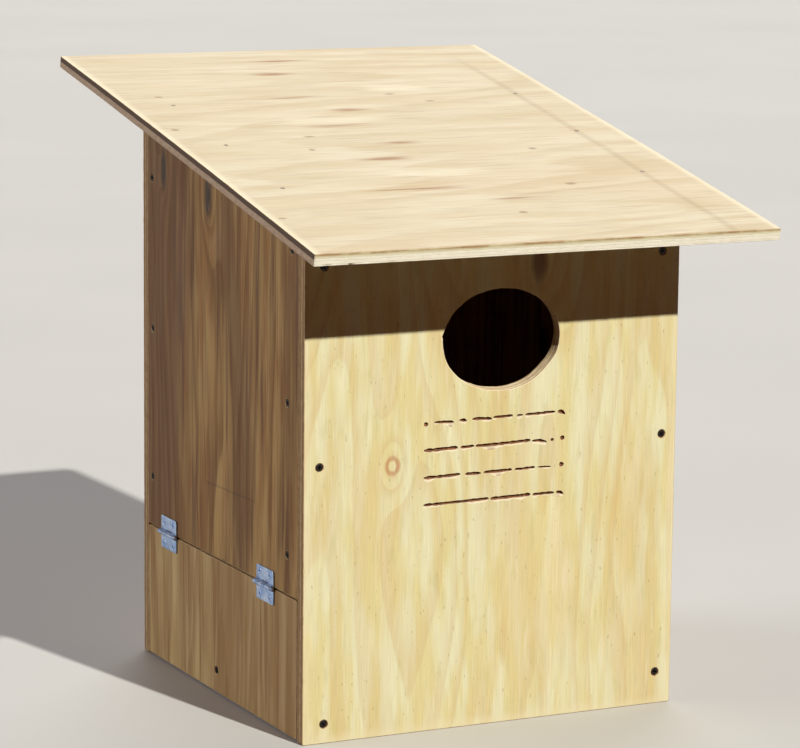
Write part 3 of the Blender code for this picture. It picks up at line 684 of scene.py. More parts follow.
def piece_from(name, points, faces, slots, finishes, sharp=WOOD_SHARP):
    """A mesh object, smooth apart from edges sharper than that many degrees."""
    mesh = bpy.data.meshes.new(name)
    mesh.from_pydata([tuple(p) for p in points], [], faces)
    for finish in finishes:
        mesh.materials.append(finish)
    mesh.polygons.foreach_set("material_index", slots)
    mesh.shade_smooth()
    mesh.set_sharp_from_angle(angle=math.radians(sharp))
    mesh.update()
    piece = bpy.data.objects.new(name, mesh)
    bpy.context.scene.collection.objects.link(piece)
    return piece


def board(name, loops, place, finishes, grid=(), sharp=WOOD_SHARP):
    """A solid between two faces. The first loop is its outline, and the others are holes. place
    turns (u, v, depth) into a point. finishes are the faces', the edge's and the cuts', and grid
    holds more points (u, v) on the faces, for a board that bends."""
    points, faces, slots = [], [], []
    first, last = [], []
    for loop in loops:
        starts = []
        for depth, ring in loop["rings"]:
            starts.append(len(points))
            points += [place(p.x, p.y, depth) for p in ring]
        count = len(loop["rings"][0][1])
        for upper, lower in zip(starts, starts[1:]):
            for i in range(count):
                k = (i + 1) % count
                quad = (upper + i, lower + i, lower + k, upper + k)
                faces.append(quad[::-1] if loop["hole"] else quad)
                slots.append(loop["finish"])
        first.append((loop["rings"][0][1], starts[0]))
        if loop["blind"]:
            bottom = range(starts[-1], starts[-1] + count)
            faces.append(tuple(bottom))
            slots.append(loop["finish"])
        else:
            last.append((loop["rings"][-1][1], starts[-1]))
    thick = loops[0]["rings"][-1][0]
    for rings, depth, flip in ((first, 0.0, False), (last, thick, True)):
        numbers = [start + i for ring, start in rings for i in range(len(ring))]
        for p in grid:
            numbers.append(len(points))
            points.append(place(p.x, p.y, depth))
        for triangle in filled([ring for ring, _ in rings], grid):
            corners = tuple(numbers[i] for i in triangle)
            faces.append(corners[::-1] if flip else corners)
            slots.append(FACE)
    return piece_from(name, points, faces, slots, finishes, sharp)


def add_piece(piece, body, slot, *replaced):
    """Gives a piece its body, and hides the CAD solids it stands for. slot is not used."""
    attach(piece, body)
    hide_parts(*replaced)
    return piece


# ---------------------------------------------------------------- the boards


def head_middle(node, into):
    """Middle of a fastener's head: the end of its solid that faces out of the wood."""
    corners = [v.co for v in NODES[node].data.vertices]
    nearest = min(p.dot(into) for p in corners)
    top = [p for p in corners if p.dot(into) < nearest + 0.0001]
    low = Vector([min(p[k] for p in top) for k in range(3)])
    high = Vector([max(p[k] for p in top) for k in range(3)])
    return (low + high) / 2


def named(*starts):
    """The screws whose names start that way, in order."""
    return sorted(name for name in NODES if name.startswith(starts) and "screw" in name)


def holes_for(names, into, flat):
    """Countersunk holes on a wall's plane, where flat turns a point into its (u, v)."""
    head, shank = SCREW_HEAD_RADIUS, SCREW_SHANK_RADIUS
    found = []
    for number, name in enumerate(names):
        middle = flat(head_middle(name, into))
        found.append(countersunk(middle, head, shank, WALL, number + sum(into) * 3))
    return found


def entrance_outline():
    """The jigsawn oval, a little uneven, with a flat stretch, and a nick where the blade started.
    Their places are in degrees round from the right."""
    nick_at, nick_half, nick_depth = 172, 1.6, 0.0011
    flat_at, flat_half, flat_depth = 322, 16.0, 0.0012
    count = 150
    points = []
    for i in range(count):
        angle = math.tau * i / count
        around = Vector((math.cos(angle), math.sin(angle)))
        grow = 0.0005 * noise.noise(Vector((3 * around.x, 3 * around.y, 1.0)))
        grow += 0.0002 * noise.noise(Vector((20 * around.x, 20 * around.y, 5.0)))
        grow += nick_depth * math.exp(-(((math.degrees(angle) - nick_at) / nick_half) ** 4))
        grow -= flat_depth * math.exp(-(((math.degrees(angle) - flat_at) / flat_half) ** 2))
        u = (ENTRANCE_WIDTH / 2 + grow) * around.x
        v = (ENTRANCE_HEIGHT / 2 + grow) * around.y
        points.append(ENTRANCE_MIDDLE + Vector((u, v)))
    return points


# A cut's section, as (depth, half height above, half height below, share of the torn lip), and a
# pit's, as (depth, radius). Heights and radii are shares of those at the face.
CUT_SECTION = (
    (0.0, 1.08, 0.92, 1.0),
    (0.0006, 1.04, 0.84, 0.0),
    (0.0022, 0.92, 0.66, 0.0),
    (GROOVE_DEPTH - 0.0001, 0.70, 0.44, 0.0),
)
PIT_SECTION = ((0.0, 1.0), (0.0008, 0.85), (0.0020, 0.65), (0.0026, 0.30))


def groove_stroke(start, end, seed, half, drop):
    """One cut of a hand saw, from start to end: a ragged slot, its lower lip torn in places. drop
    is how far it bends down at its end."""
    count = max(4, round((end - start).length / 0.0022))
    spine, widths, lips = [], [], []
    for i in range(count + 1):
        share = i / count
        tear = noise.noise(Vector((share * count * 0.20, seed * 3.1, 4.0)))
        lips.append(0.0024 * max(0.0, 0.38 + 1.5 * tear))
        shake = 0.00028 * noise.noise(Vector((share * count * 0.45, seed, 0.0)))
        spine.append(start.lerp(end, share) + Vector((0, shake - drop * share**3)))
        ragged = 1 + 0.45 * noise.noise(Vector((share * count * 0.6, seed, 7.0)))
        narrow = min(1.0, 0.45 + min(share, 1 - share) * count * 0.6)
        widths.append(half * ragged * narrow)
    rings = []
    for depth, up, down, lip in CUT_SECTION:
        lower = [p + Vector((0, -w * down - torn * lip)) for p, w, torn in zip(spine, widths, lips)]
        upper = [p + Vector((0, w * up)) for p, w in zip(spine, widths)]
        rings.append((depth, lower + upper[::-1]))
    return pocket(rings, blind=True, finish=KERF)


def groove_pit(middle, radius, seed):
    """A ragged round hole where the saw's tip went in."""
    rings = []
    for depth, share in PIT_SECTION:
        ring = []
        for i, point in enumerate(circle(middle, radius * share, 12)):
            torn = 1 + 0.25 * noise.noise(Vector((i * 0.8, seed, 3.0)))
            ring.append(Vector(middle) + (point - Vector(middle)) * torn)
        rings.append((depth, ring))
    return pocket(rings, blind=True, finish=KERF)


# Each groove's cuts, as (start, end, half height in mm, drop at the end in mm), and its pits, as
# (place, radius in mm, height in mm). Places are shares of the groove's length from its left end.
GROOVE_CUTS = (
    ((0.07, 0.205, 1.3, 0.9), (0.245, 0.295, 1.5, 0.5), (0.335, 0.472, 1.5, 1.0), (0.482, 0.62, 1.4, -0.3),
     (0.65, 0.695, 0.9, 0.0), (0.71, 0.925, 1.3, -0.3), (0.942, 0.995, 1.9, 2.4)),
    ((0.0, 0.235, 1.7, -0.5), (0.255, 0.35, 1.5, -0.5), (0.36, 0.75, 1.5, -0.9), (0.76, 0.865, 1.3, 1.9)),
    ((0.0, 0.255, 1.5, -0.6), (0.29, 0.40, 1.5, 0.4), (0.42, 0.62, 1.5, -0.2), (0.64, 0.785, 1.3, -0.4),
     (0.80, 0.90, 0.8, 0.6)),
    ((0.0, 0.458, 1.4, -0.5), (0.47, 0.755, 1.6, -0.4), (0.77, 0.925, 1.4, 0.1), (0.940, 0.992, 1.5, 1.9)),
)
GROOVE_PITS = (
    ((0.012, 2.3, -1.0),),
    ((0.905, 1.8, -0.6), (0.978, 2.5, 0.2)),
    ((0.975, 2.5, 0.6),),
    (),
)


def grooves():
    """The four footholds below the entrance, each a row of cuts and pits."""
    found = []
    for number, (cuts, pits) in enumerate(zip(GROOVE_CUTS, GROOVE_PITS)):
        left = FIRST_GROOVE + Vector((-GROOVE_LENGTH / 2, -number * GROOVE_PITCH))
        whole = Vector((GROOVE_LENGTH, GROOVE_RISE))
        for k, (start, end, half, drop) in enumerate(cuts):
            points = (left + whole * start, left + whole * end)
            found.append(groove_stroke(*points, number * 11 + k, half / 1000, drop / 1000))
        for k, (share, radius, up) in enumerate(pits):
            middle = left + whole * share + Vector((0, up / 1000))
            found.append(groove_pit(middle, radius / 1000, number * 5 + k))
    return found


def end_wall(outer_y, inward, seed, screws):
    """The front or back panel's loops, and what places them. inward is 1 at the front and -1 at
    the back."""
    top = wall_top(outer_y)

    def place(u, v, depth):
        y = outer_y + inward * depth
        return Vector((inward * u, y, v * wall_top(y) / top))

    outline = stepped([(LEFT, 0.0), (RIGHT, 0.0), (RIGHT, top), (LEFT, top)])
    loops = [sawn(outline, WALL, WALL_PLIES, seed)]
    loops += holes_for(screws, Vector((0, inward, 0)), lambda p: (inward * p.x, p.z))
    return loops, place


def make_front(face, edge, torn, kerf_painted_shade, lit_rim_finish):
    """The front panel. The last finish is the entrance's cut: the sawn plies in paler tones, painted
    light.
    """
    loops, place = end_wall(FRONT_Y, 1, 1.0, named("front_screw"))
    entrance = sawn(entrance_outline(), WALL, WALL_PLIES, 2.0, hole=True, saw=0.00022, chips=0.0010)
    # The entrance's cut takes a paler copy of the edge finish: painted light on its rim.
    entrance["finish"] = RIM_PAINTED_LIGHT
    loops.insert(1, entrance)
    loops += grooves()
    piece = board("front_board", loops, place, [face, edge, torn, kerf_painted_shade, lit_rim_finish])
    add_piece(piece, "box", "front_plywood", "front_panel")


def make_back(face, edge, torn):
    """The back panel."""
    loops, place = end_wall(BACK_Y, -1, 11.0, named("back_screw", "floor_screw_back"))
    piece = board("back_board", loops, place, [face, edge, torn])
    add_piece(piece, "box", "side_plywood", "back_panel")


def make_side(name, side, node, screws, finishes, slot, body="box", seed=21.0, small=()):
    """A side wall or the door, as big as its CAD solid. side is -1 for the left, screws are the
    wood screws through it, and small the hinge screws."""
    low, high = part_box(node)
    outer = side * RIGHT

    def place(u, v, depth):
        return Vector((outer - side * depth, side * u, v))

    tops = [min(high.z, wall_top(y)) for y in (low.y, high.y)]
    corners = [(low.y, low.z), (high.y, low.z), (high.y, tops[1]), (low.y, tops[0])]
    if side < 0:
        corners = [(-y, z) for y, z in reversed(corners)]
    loops = [sawn(stepped(corners), WALL, WALL_PLIES, seed)]
    into = Vector((-side, 0, 0))
    loops += holes_for(screws, into, lambda p: (side * p.y, p.z))
    for screw in small:
        head = head_middle(screw, into)
        bore = circle((side * head.y, head.z), HINGE_SCREW_SHANK_RADIUS + 0.0003, 12)
        loops.append(pocket([(0.0, bore), (WALL, bore)]))
    piece = board(name, loops, place, finishes)
    add_piece(piece, body, slot, node)


def splintered(ring, half):
    """Tears the front edge of a ring of the roof sheet, most of all near its left corner."""
    for point in ring:
        if point.y < 0.004:
            near_left = math.exp(-(((point.x + half * 0.86) / 0.05) ** 2))
            tear = noise.noise(Vector((point.x * 130, 4.0, 8.0)))
            point.y += 0.0016 * max(0.0, tear) * (0.25 + near_left)


def nail_hole(middle):
    """A hole for a roof nail, its head just below the face."""
    wide = circle(middle, NAIL_HEAD_RADIUS + 0.0002, 20)
    shank = circle(middle, NAIL_SHANK_RADIUS + 0.0002, 20)
    return pocket([(0.0, wide), (0.0013, wide), (0.0015, shank), (ROOF_SHEET, shank)])


def make_roof(face, edge, torn):
    """The roof sheet. Its ends hang a little, and its front lower arris is splintered."""
    along = Vector((0, math.cos(ROOF_SLOPE), math.sin(ROOF_SLOPE)))
    front_top = Vector((0, ROOF_LOW.y, ROOF_LOW.z + ROOF_SHEET * math.cos(ROOF_SLOPE)))

    def place(u, v, depth):
        bend = ROOF_BOW * (2 * v / ROOF_LENGTH - 1) ** 2
        ripple = 0.0003 * noise.noise(Vector((u * 5, v * 7, 3.0)))
        return front_top + Vector((u, 0, 0)) + along * v + DOWN_SQUARE * (depth + bend + ripple)

    half = ROOF_HIGH.x
    corners = [(-half, 0.0), (half, 0.0), (half, ROOF_LENGTH), (-half, ROOF_LENGTH)]
    edge_loop = sawn(stepped(corners, 0.003), ROOF_SHEET, ROOF_PLIES, 41.0, saw=0.00016, chips=0.0012)
    for _, ring in edge_loop["rings"][-4:]:
        splintered(ring, half)
    nails = [head_middle(name, DOWN_SQUARE) - front_top for name in ROOF_NAILS]
    loops = [edge_loop] + [nail_hole((head.x, head.dot(along))) for head in nails]
    hole_starts = [loop["rings"][0][1][0] for loop in loops[1:]]
    columns, rows, clearance = 16, 26, 0.008
    grid = []
    for i in range(1, columns):
        for k in range(1, rows):
            spot = Vector((-half + 2 * half * i / columns, ROOF_LENGTH * k / rows))
            if all((spot - start).length > clearance for start in hole_starts):
                grid.append(spot)
    piece = board("roof_sheet", loops, place, [face, edge, torn], grid)
    add_piece(piece, "box", "roof_plywood", "roof_panel")


# ---------------------------------------------------------------- fasteners


def cross_slot(size):
    """Outline of a cross-head recess, anticlockwise."""
    arm, half = size, size * 0.22
    points = []
    for quarter in range(4):
        turn = Matrix.Rotation(quarter * math.pi / 2, 2)
        for corner in ((arm, -half), (arm * 1.06, 0.0), (arm, half), (half * 1.3, half * 1.3)):
            points.append(turn @ Vector(corner))
    return points


def upright(u, v, depth):
    """Places a fastener with its head's top at 0, pointing along +Z."""
    return Vector((u, -v, depth))


def thread_ring(shank, turns, taper, sides):
    """One ring of a screw's thread, where turns is how many turns of it lie above the ring."""
    ring = []
    for i in range(sides):
        phase = (turns - i / sides) % 1.0
        crest = max(0.0, 1.0 - abs(phase - 0.5) * 3.4)
        radius = shank * (0.70 + 0.30 * crest) * taper
        angle = math.tau * i / sides
        ring.append(Vector((radius * math.cos(angle), radius * math.sin(angle))))
    return ring


def threaded(name, length, head, shank, finish, sides=20):
    """A countersunk cross-head wood screw."""
    start = 0.0006 + (head - shank * 0.8)
    pitch = shank * 0.75
    sizes = ((0.0, head - 0.00025), (0.00015, head), (0.0005, head), (start, shank * 0.74))
    rings = [(depth, circle((0, 0), radius, sides)) for depth, radius in sizes]
    depth = start + pitch
    while depth < length:
        taper = min(1.0, max(0.06, (length - depth) / SCREW_POINT))
        rings.append((depth, thread_ring(shank, depth / pitch, taper, sides)))
        depth += pitch / 5
    rings.append((length, circle((0, 0), shank * 0.03, sides)))
    slot = cross_slot(head * 0.62)
    recess = [(0.0, slot), (0.0006, [p * 0.90 for p in slot]), (head * 0.55, [p * 0.45 for p in slot])]
    loops = [metal_outline(rings), pocket(recess, blind=True, finish=FACE)]
    return board(name, loops, upright, [finish], sharp=METAL_SHARP)


def wood_screw(name, finish):
    return threaded(name, WOOD_SCREW_LENGTH, SCREW_HEAD_RADIUS, SCREW_SHANK_RADIUS, finish)


def door_screw(name, finish):
    return threaded(name, DOOR_SCREW_LENGTH, SCREW_HEAD_RADIUS, SCREW_SHANK_RADIUS, finish)


def hinge_screw(name, finish):
    head, shank = HINGE_SCREW_HEAD_RADIUS, HINGE_SCREW_SHANK_RADIUS
    return threaded(name, HINGE_SCREW_LENGTH, head, shank, finish, 16)


def roof_nail(name, finish):
    """A round wire nail with a flat, slightly domed head."""
    dome = ((0.0, 0.55), (0.0001, 0.80), (0.0003, 1.0), (0.0008, 1.0), (0.0010, 0.56))
    sizes = [(depth, NAIL_HEAD_RADIUS * share) for depth, share in dome]
    sizes += [(NAIL_LENGTH - NAIL_POINT, NAIL_SHANK_RADIUS), (NAIL_LENGTH, NAIL_SHANK_RADIUS * 0.1)]
    rings = [(depth, circle((0, 0), radius, 20)) for depth, radius in sizes]
    return board(name, [metal_outline(rings)], upright, [finish], sharp=METAL_SHARP)


def drive(make, node, into, turn, body, slot, finish):
    """Puts a fastener where its CAD solid is, its head facing out of the wood."""
    piece = make(node + "_steel", finish)
    along = into.to_track_quat("Z", "Y").to_matrix().to_4x4()
    place = Matrix.Translation(head_middle(node, into)) @ along @ Matrix.Rotation(turn, 4, "Z")
    piece.data.transform(place)
    add_piece(piece, body, slot, node)


def fasteners(dark, bright, zinc):
    """Every screw and nail. Each screw is turned further than the one before, as by hand."""
    leftward, rightward = Vector((-1, 0, 0)), Vector((1, 0, 0))
    rearward, forward = Vector((0, 1, 0)), Vector((0, -1, 0))
    ways = {
        "front_screw": rearward,
        "back_screw": forward,
        "left_": rightward,
        "right_": leftward,
        "floor_screw_right": leftward,
        "floor_screw_back": forward,
    }
    number = 0
    for start, into in ways.items():
        for node in named(start):
            number += 1
            drive(wood_screw, node, into, number * SCREW_TURN, "box", "dark_screw_steel", dark)
    for node in ROOF_NAILS:
        drive(roof_nail, node, DOWN_SQUARE, 0.0, "box", "nail_steel", bright)
    for hinge in HINGES:
        for k, body in ((1, "box"), (2, "box"), (3, "door"), (4, "door")):
            number += 1
            node, turn = f"{hinge}_hinge_screw_{k}", number * SCREW_TURN
            drive(hinge_screw, node, rightward, turn, body, "zinc_plated_steel", zinc)
    drive(door_screw, "door_screw", rightward, 0.5, "door_screw", "dark_screw_steel", dark)


# ---------------------------------------------------------------- hinges

# The pin's domed head, as (distance from its end, share of the head's radius).
PIN_DOME = ((0.0, 0.25), (0.0003, 0.65), (0.0007, 0.92), (0.0012, 1.0), (PIN_HEAD, 1.0))


def mitred(points, inset):
    """A closed anticlockwise line moved inwards, its corners kept sharp."""
    found = []
    count = len(points)
    for i, here in enumerate(points):
        arrive = (here - points[i - 1]).normalized()
        leave = (points[(i + 1) % count] - here).normalized()
        bisector = Vector((arrive.y + leave.y, -arrive.x - leave.x)).normalized()
        found.append(here - bisector * inset / max(0.3, bisector.dot(Vector((leave.y, -leave.x)))))
    return found


def rounded_corner(corner, inward, far, up):
    """Points (y, z) round one outer corner of a leaf. inward and up are 1 or -1."""
    arc = []
    for k in range(5):
        angle = math.pi / 2 * k / 4
        y = corner + inward * LEAF_CORNER * (1 - math.sin(angle))
        arc.append((y, far - up * LEAF_CORNER * (1 - math.cos(angle))))
    return arc


def leaf_outline(start, end, far, pin_z, up, spans):
    """A leaf with its outer corners rounded and a tongue up to the pin at each knuckle."""
    clear = pin_z + up * (KNUCKLE_RADIUS + KNUCKLE_GAP)
    tip = pin_z + up * TONGUE_SHORT
    profile = rounded_corner(start, 1, far, up)
    reach = start
    for y0, y1 in spans:
        if y0 - reach > 0.001:
            profile += [(reach, clear), (y0, clear)]
        profile += [(y0, tip), (y1, tip)]
        reach = y1
        if end - y1 > 0.001:
            profile += [(y1, clear)]
    if end - reach > 0.001:
        profile += [(end, clear)]
    profile += rounded_corner(end, -1, far, up)[::-1]
    unique = [p for i, p in enumerate(profile) if (Vector(p) - Vector(profile[i - 1])).length > 0.00005]
    flat = [Vector((-y, z)) for y, z in unique]
    turning = sum(flat[i - 1].x * flat[i].y - flat[i].x * flat[i - 1].y for i in range(len(flat)))
    return flat if turning > 0 else flat[::-1]


def knuckle(name, axis, y0, y1, up, zinc):
    """Sheet rolled into a tube round the pin, with the end of the roll tucked behind."""
    sides = 28
    slit_at, slit = round(sides * 0.42), 0.00035
    outer, inner = KNUCKLE_RADIUS, HINGE_PIN_RADIUS + 0.0002
    eased = 0.0002
    stations = ((y0, outer - eased), (y0 + eased, outer), (y1 - eased, outer), (y1, outer - eased))
    points, faces = [], []
    for y, widest in stations:
        for radius in (inner, widest):
            for i in range(sides):
                angle = math.tau * i / sides
                r = radius - slit if i == slit_at and radius == widest else radius
                points.append(Vector((axis.x + r * math.sin(angle), y, axis.z + up * r * math.cos(angle))))
    ring = 2 * sides
    for s in range(len(stations) - 1):
        for i in range(sides):
            k = (i + 1) % sides
            for offset, flip in ((0, True), (sides, False)):
                a, b = s * ring + offset, (s + 1) * ring + offset
                quad = (a + i, a + k, b + k, b + i)
                faces.append(quad[::-1] if flip != (up < 0) else quad)
    for s, flip in ((0, False), (len(stations) - 1, True)):
        base = s * ring
        for i in range(sides):
            k = (i + 1) % sides
            quad = (base + i, base + k, base + sides + k, base + sides + i)
            faces.append(quad[::-1] if flip != (up < 0) else quad)
    return piece_from(name, points, faces, [FACE] * len(faces), [zinc], sharp=METAL_SHARP)


def leaf_hole(screw):
    """A hinge screw's countersunk hole in its leaf."""
    head = head_middle(screw, Vector((1, 0, 0)))
    seat, shank = HINGE_SCREW_HEAD_RADIUS, HINGE_SCREW_SHANK_RADIUS
    sizes = ((0.0, seat + 0.0005), (0.0003, seat + 0.0001), (HINGE_LEAF, shank + 0.0004))
    rings = [(depth, circle((-head.y, head.z), radius, 20)) for depth, radius in sizes]
    return pocket(rings, finish=FACE)


def make_leaf(hinge, which, spans, axis, zinc):
    """A leaf and its rolled knuckles, whose starts and ends are spans. Both leaves of a hinge are
    as long as the upper one, and lie in its plane."""
    upper_low, upper_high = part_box(f"{hinge}_hinge_upper_leaf")
    node = f"{hinge}_hinge_{which}_leaf"
    if which == "upper":
        up, far, body, screws = 1, upper_high.z, "box", (1, 2)
    else:
        up, far, body, screws = -1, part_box(node)[0].z, "door", (3, 4)
    outline = leaf_outline(upper_low.y, upper_high.y, far, axis.z, up, spans)
    levels = [(0.0, LEAF_EASE), (0.3 * LEAF_EASE, 0.3 * LEAF_EASE), (LEAF_EASE, 0.0)]
    levels += [(HINGE_LEAF - LEAF_EASE, 0.0), (HINGE_LEAF, LEAF_EASE)]
    loops = [metal_outline([(depth, mitred(outline, inset)) for depth, inset in levels])]
    loops += [leaf_hole(f"{hinge}_hinge_screw_{k}") for k in screws]

    def place(u, v, depth):
        return Vector((upper_high.x - HINGE_LEAF + depth, -u, v))

    leaf = board(f"{hinge}_hinge_{which}_plate", loops, place, [zinc], sharp=30.0)
    add_piece(leaf, body, "zinc_plated_steel", node)
    for k, (y0, y1) in enumerate(spans):
        curl = knuckle(f"{hinge}_hinge_{which}_knuckle_{k + 1}", axis, y0, y1, up, zinc)
        add_piece(curl, body, "zinc_plated_steel", node)


def make_pin(hinge, zinc):
    """The pin, with a domed head at each end."""
    node = f"{hinge}_hinge_pin"
    low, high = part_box(node)
    axis, length = (low + high) / 2, high.y - low.y
    head = [(depth, PIN_HEAD_RADIUS * share) for depth, share in PIN_DOME]
    neck = PIN_HEAD + 0.00001
    sizes = head + [(neck, HINGE_PIN_RADIUS), (length - neck, HINGE_PIN_RADIUS)]
    sizes += [(length - depth, radius) for depth, radius in reversed(head)]
    rings = [(depth, circle((0, 0), radius, 20)) for depth, radius in sizes]

    def place(u, v, depth):
        return Vector((axis.x + u, low.y + depth, axis.z + v))

    pin = board(f"{hinge}_hinge_rod", [metal_outline(rings)], place, [zinc], sharp=METAL_SHARP)
    add_piece(pin, "box", "zinc_plated_steel", node)


def make_hinge(hinge, zinc):
    """Both leaves and the pin of one butt hinge. The upper leaf has the two outer knuckles."""
    low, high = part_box(f"{hinge}_hinge_upper_leaf")
    pin_low, pin_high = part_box(f"{hinge}_hinge_pin")
    axis = (pin_low + pin_high) / 2
    start, end = low.y, high.y
    third = (end - start) / 3
    half_gap = KNUCKLE_GAP / 2
    outer = [(start, start + third - half_gap), (end - third + half_gap, end)]
    middle = [(start + third + half_gap, end - third - half_gap)]
    make_leaf(hinge, "upper", outer, axis, zinc)
    make_leaf(hinge, "lower", middle, axis, zinc)
    make_pin(hinge, zinc)


def carried_over(node, finish, ease):
    """Keeps a CAD solid, with its edges eased and a better finish."""
    piece = NODES[node]
    piece.data.materials.clear()
    piece.data.materials.append(finish)
    joined = piece.modifiers.new("joined", "WELD")
    joined.merge_threshold = 0.00002
    eased = piece.modifiers.new("eased", "BEVEL")
    eased.width = ease
    eased.segments = 2
    eased.limit_method = "ANGLE"
    eased.angle_limit = math.radians(50)


# ---------------------------------------------------------------- studio

FLOOR_RADIUS = 60.0
CAMERA_PLACE = (-1.44685, -2.95873, 0.86647)
CAMERA_TURN = (0.4546, 0.1716, -0.0102)  # radians: to the right, down, and about its own line
CAMERA_LENS = 156.97  # millimetres, on a sensor 36 mm wide


def studio():
    """Pale floor and room, one key light high at the front right, and soft fills for the sides.

    The floor throws no light back up, so the shade under the eaves stays deep."""
    points = [Vector((p.x, p.y, 0.0)) for p in circle((0, 0), FLOOR_RADIUS, 96)]
    floor = piece_from("studio_floor", points, [tuple(range(len(points)))], [0], [studio_floor_finish()])
    floor.visible_diffuse = False
    room((0.72, 0.69, 0.64), (1.0, 0.40, 0.24), 0.058)
    lamp("key", (0.22, -1.0, 0.76), 3.95, 1.2, (1.0, 0.985, 0.92))
    lamp("left_fill", (-1.0, 0.45, 0.34), 1.55, 40.0, (0.92, 0.96, 1.0))
    lamp("rear_fill", (0.6, 1.0, 0.50), 1.55, 50.0, (0.95, 0.975, 1.0))


def room(seen, glow, strength):
    """The world: a plain pale colour to look at, and a dim warm glow that lights the shade."""
    world = bpy.data.worlds.new("soft_room")
    world.use_nodes = True
    tree = world.node_tree
    fill = tree.nodes["Background"]
    fill.inputs["Color"].default_value = (*glow, 1.0)
    fill.inputs["Strength"].default_value = strength
    backdrop = tree.nodes.new("ShaderNodeBackground")
    backdrop.inputs["Color"].default_value = (*seen, 1.0)
    looked_at = tree.nodes.new("ShaderNodeLightPath")
    either = tree.nodes.new("ShaderNodeMixShader")
    tree.links.new(looked_at.outputs["Is Camera Ray"], either.inputs[0])
    tree.links.new(fill.outputs[0], either.inputs[1])
    tree.links.new(backdrop.outputs[0], either.inputs[2])
    tree.links.new(either.outputs[0], tree.nodes["World Output"].inputs["Surface"])
    bpy.context.scene.world = world


def lamp(name, direction, strength, spread, colour):
    """A light far away in that direction. spread is how wide it looks, in degrees."""
    light = bpy.data.lights.new(name, "SUN")
    light.energy = strength
    light.angle = math.radians(spread)
    light.color = colour
    placed = bpy.data.objects.new(name, light)
    placed.matrix_world = Vector(direction).to_track_quat("Z", "Y").to_matrix().to_4x4()
    bpy.context.scene.collection.objects.link(placed)


def camera():
    """Long lens, a little above the roof's front edge, from the left of the front."""
    yaw, pitch, roll = CAMERA_TURN
    ahead = Vector((math.sin(yaw) * math.cos(pitch), math.cos(yaw) * math.cos(pitch), -math.sin(pitch)))
    level = Vector((math.cos(yaw), -math.sin(yaw), 0.0))
    below = ahead.cross(level)
    right = level * math.cos(roll) + below * math.sin(roll)
    up = level * math.sin(roll) - below * math.cos(roll)
    lens = bpy.data.cameras.new("camera")
    lens.lens = CAMERA_LENS
    lens.sensor_width = 36.0
    lens.clip_end = 200.0
    placed = bpy.data.objects.new("camera", lens)
    turn = Matrix((right, up, -ahead)).transposed().to_4x4()
    placed.matrix_world = Matrix.Translation(CAMERA_PLACE) @ turn
    bpy.context.scene.collection.objects.link(placed)
    bpy.context.scene.camera = placed


# ---------------------------------------------------------------- assembly

# The left side's tones: redder than PLAIN_TONES, which is the wood's own tone, and darker, which is
# painted shade.
LEFT_TONES_PAINTED_SHADE = (paint(194, 155, 94), paint(167, 119, 60), paint(104, 66, 32), paint(44, 28, 20))
DOOR_TONES = (paint(220, 190, 134), paint(202, 168, 108), paint(156, 114, 66), paint(96, 62, 38))
PLAIN_TONES = (paint(214, 178, 128), paint(200, 158, 106), paint(158, 112, 70), paint(84, 54, 36))
EDGE_TONES = (paint(214, 182, 132), paint(164, 124, 84), paint(96, 68, 44))
# A paler copy of EDGE_TONES for the entrance's cut: painted light, with the rim coloured as if lit.
ENTRANCE_PAINTED_LIGHT_TONES = (paint(250, 234, 200), paint(222, 192, 146), paint(138, 100, 64))

LEFT_KNOTS = (
    (FRONT_Y + 0.329, 0.486, 0.0055, 0.018),
    (FRONT_Y + 0.219, 0.474, 0.0075, 0.022),
    (FRONT_Y + 0.182, 0.131, 0.0030, 0.0035),
)
RIGHT_KNOTS = ((FRONT_Y + 0.24, 0.31, 0.010, 0.016),)
BACK_KNOTS = ((-0.07, 0.40, 0.011, 0.018), (0.10, 0.16, 0.006, 0.009))
LEFT_SEAMS = ((0.2035, FRONT_Y + 0.10, FRONT_Y + 0.235),)
LEFT_SHADE = (FRONT_Y + 0.20, FRONT_Y + 0.34, 0.75)
DOOR_SHADE = (FRONT_Y + 0.215, FRONT_Y + 0.190, 0.38)

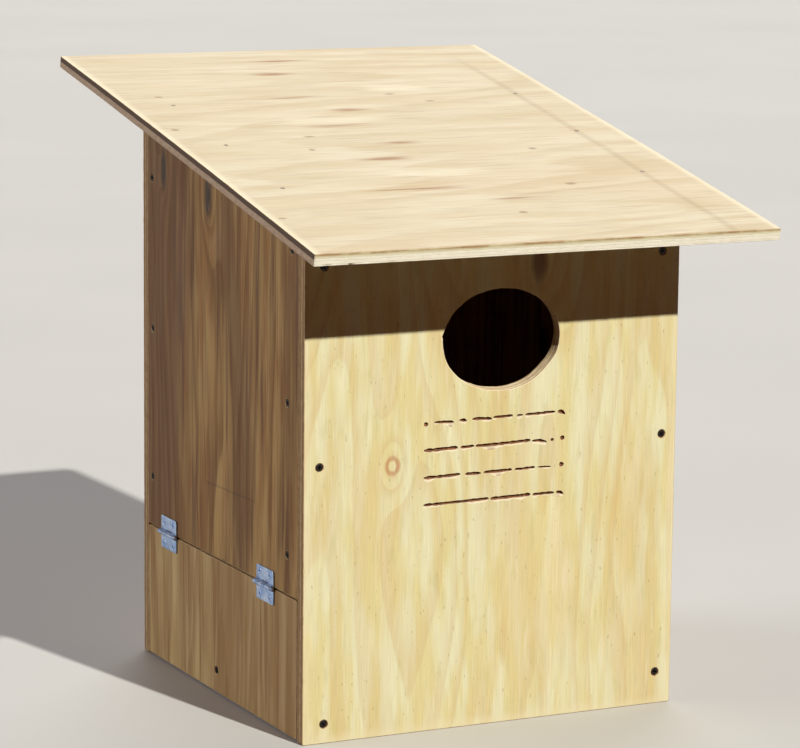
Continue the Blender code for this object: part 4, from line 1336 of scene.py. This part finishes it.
front_face = front_veneer()
roof_face = roof_veneer()
left_face = side_veneer("left_veneer", 100.0, LEFT_TONES_PAINTED_SHADE, LEFT_KNOTS, LEFT_SEAMS, LEFT_SHADE)
right_face = side_veneer("right_veneer", 133.0, PLAIN_TONES, RIGHT_KNOTS)
back_face = side_veneer("back_veneer", 166.0, PLAIN_TONES, BACK_KNOTS)
door_face = side_veneer("door_veneer", 190.0, DOOR_TONES, shade=DOOR_SHADE)
torn = cut_wood("countersink_wood", paint(222, 196, 146), paint(150, 108, 66))
# The groove wood's tones are darker than the countersink wood's: painted shade inside the grooves. Its lip
# colour is a painted highlight.
kerf_painted_shade = cut_wood("groove_wood", paint(158, 108, 70), paint(116, 74, 46), lip=paint(250, 238, 206))
front_edge = sawn_plies("front_edge", 1, FRONT_Y, EDGE_TONES)
entrance_edge = sawn_plies("entrance_edge", 1, FRONT_Y, ENTRANCE_PAINTED_LIGHT_TONES)
back_edge = sawn_plies("back_edge", 1, BACK_Y, EDGE_TONES)
left_edge = sawn_plies("left_edge", 0, LEFT, EDGE_TONES)
right_edge = sawn_plies("right_edge", 0, RIGHT, EDGE_TONES)
roof_edge = roof_edge_plies()
pine = planed_pine("batten_wood")
floor_wood = inner_veneer("floor_veneer")
zinc = zinc_plate("zinc")
dark = blackened_steel("screw_steel", paint(58, 54, 52), paint(26, 24, 24), 0.75)
bright = blackened_steel("nail_metal", paint(150, 146, 138), paint(104, 98, 90), 0.95)

make_front(front_face, front_edge, torn, kerf_painted_shade, entrance_edge)
make_back(back_face, back_edge, torn)
left_screws = named("left_front_screw", "left_rear_screw")
upper_small = [f"{hinge}_hinge_screw_{k}" for hinge in HINGES for k in (1, 2)]
make_side("left_board", -1, "left_side_panel", left_screws, [left_face, left_edge, torn],
          "side_plywood", small=upper_small)
right_screws = named("right_front_screw", "right_rear_screw", "floor_screw_right")
make_side("right_board", 1, "right_side_panel", right_screws, [right_face, right_edge, torn],
          "side_plywood", seed=27.0)
lower_small = [f"{hinge}_hinge_screw_{k}" for hinge in HINGES for k in (3, 4)]
make_side("door_board", -1, "clean_out_door", ["door_screw"], [door_face, left_edge, torn],
          "door_plywood", body="door", seed=33.0, small=lower_small)
make_roof(roof_face, roof_edge, torn)
fasteners(dark, bright, zinc)
for hinge in HINGES:
    make_hinge(hinge, zinc)
for corner in ("front_left", "front_right", "rear_left", "rear_right"):
    carried_over(f"{corner}_batten", pine, BATTEN_EASE)
carried_over("floor_panel", floor_wood, FLOOR_EASE)

studio()
camera()
bpy.context.scene.view_settings.view_transform = "Standard"
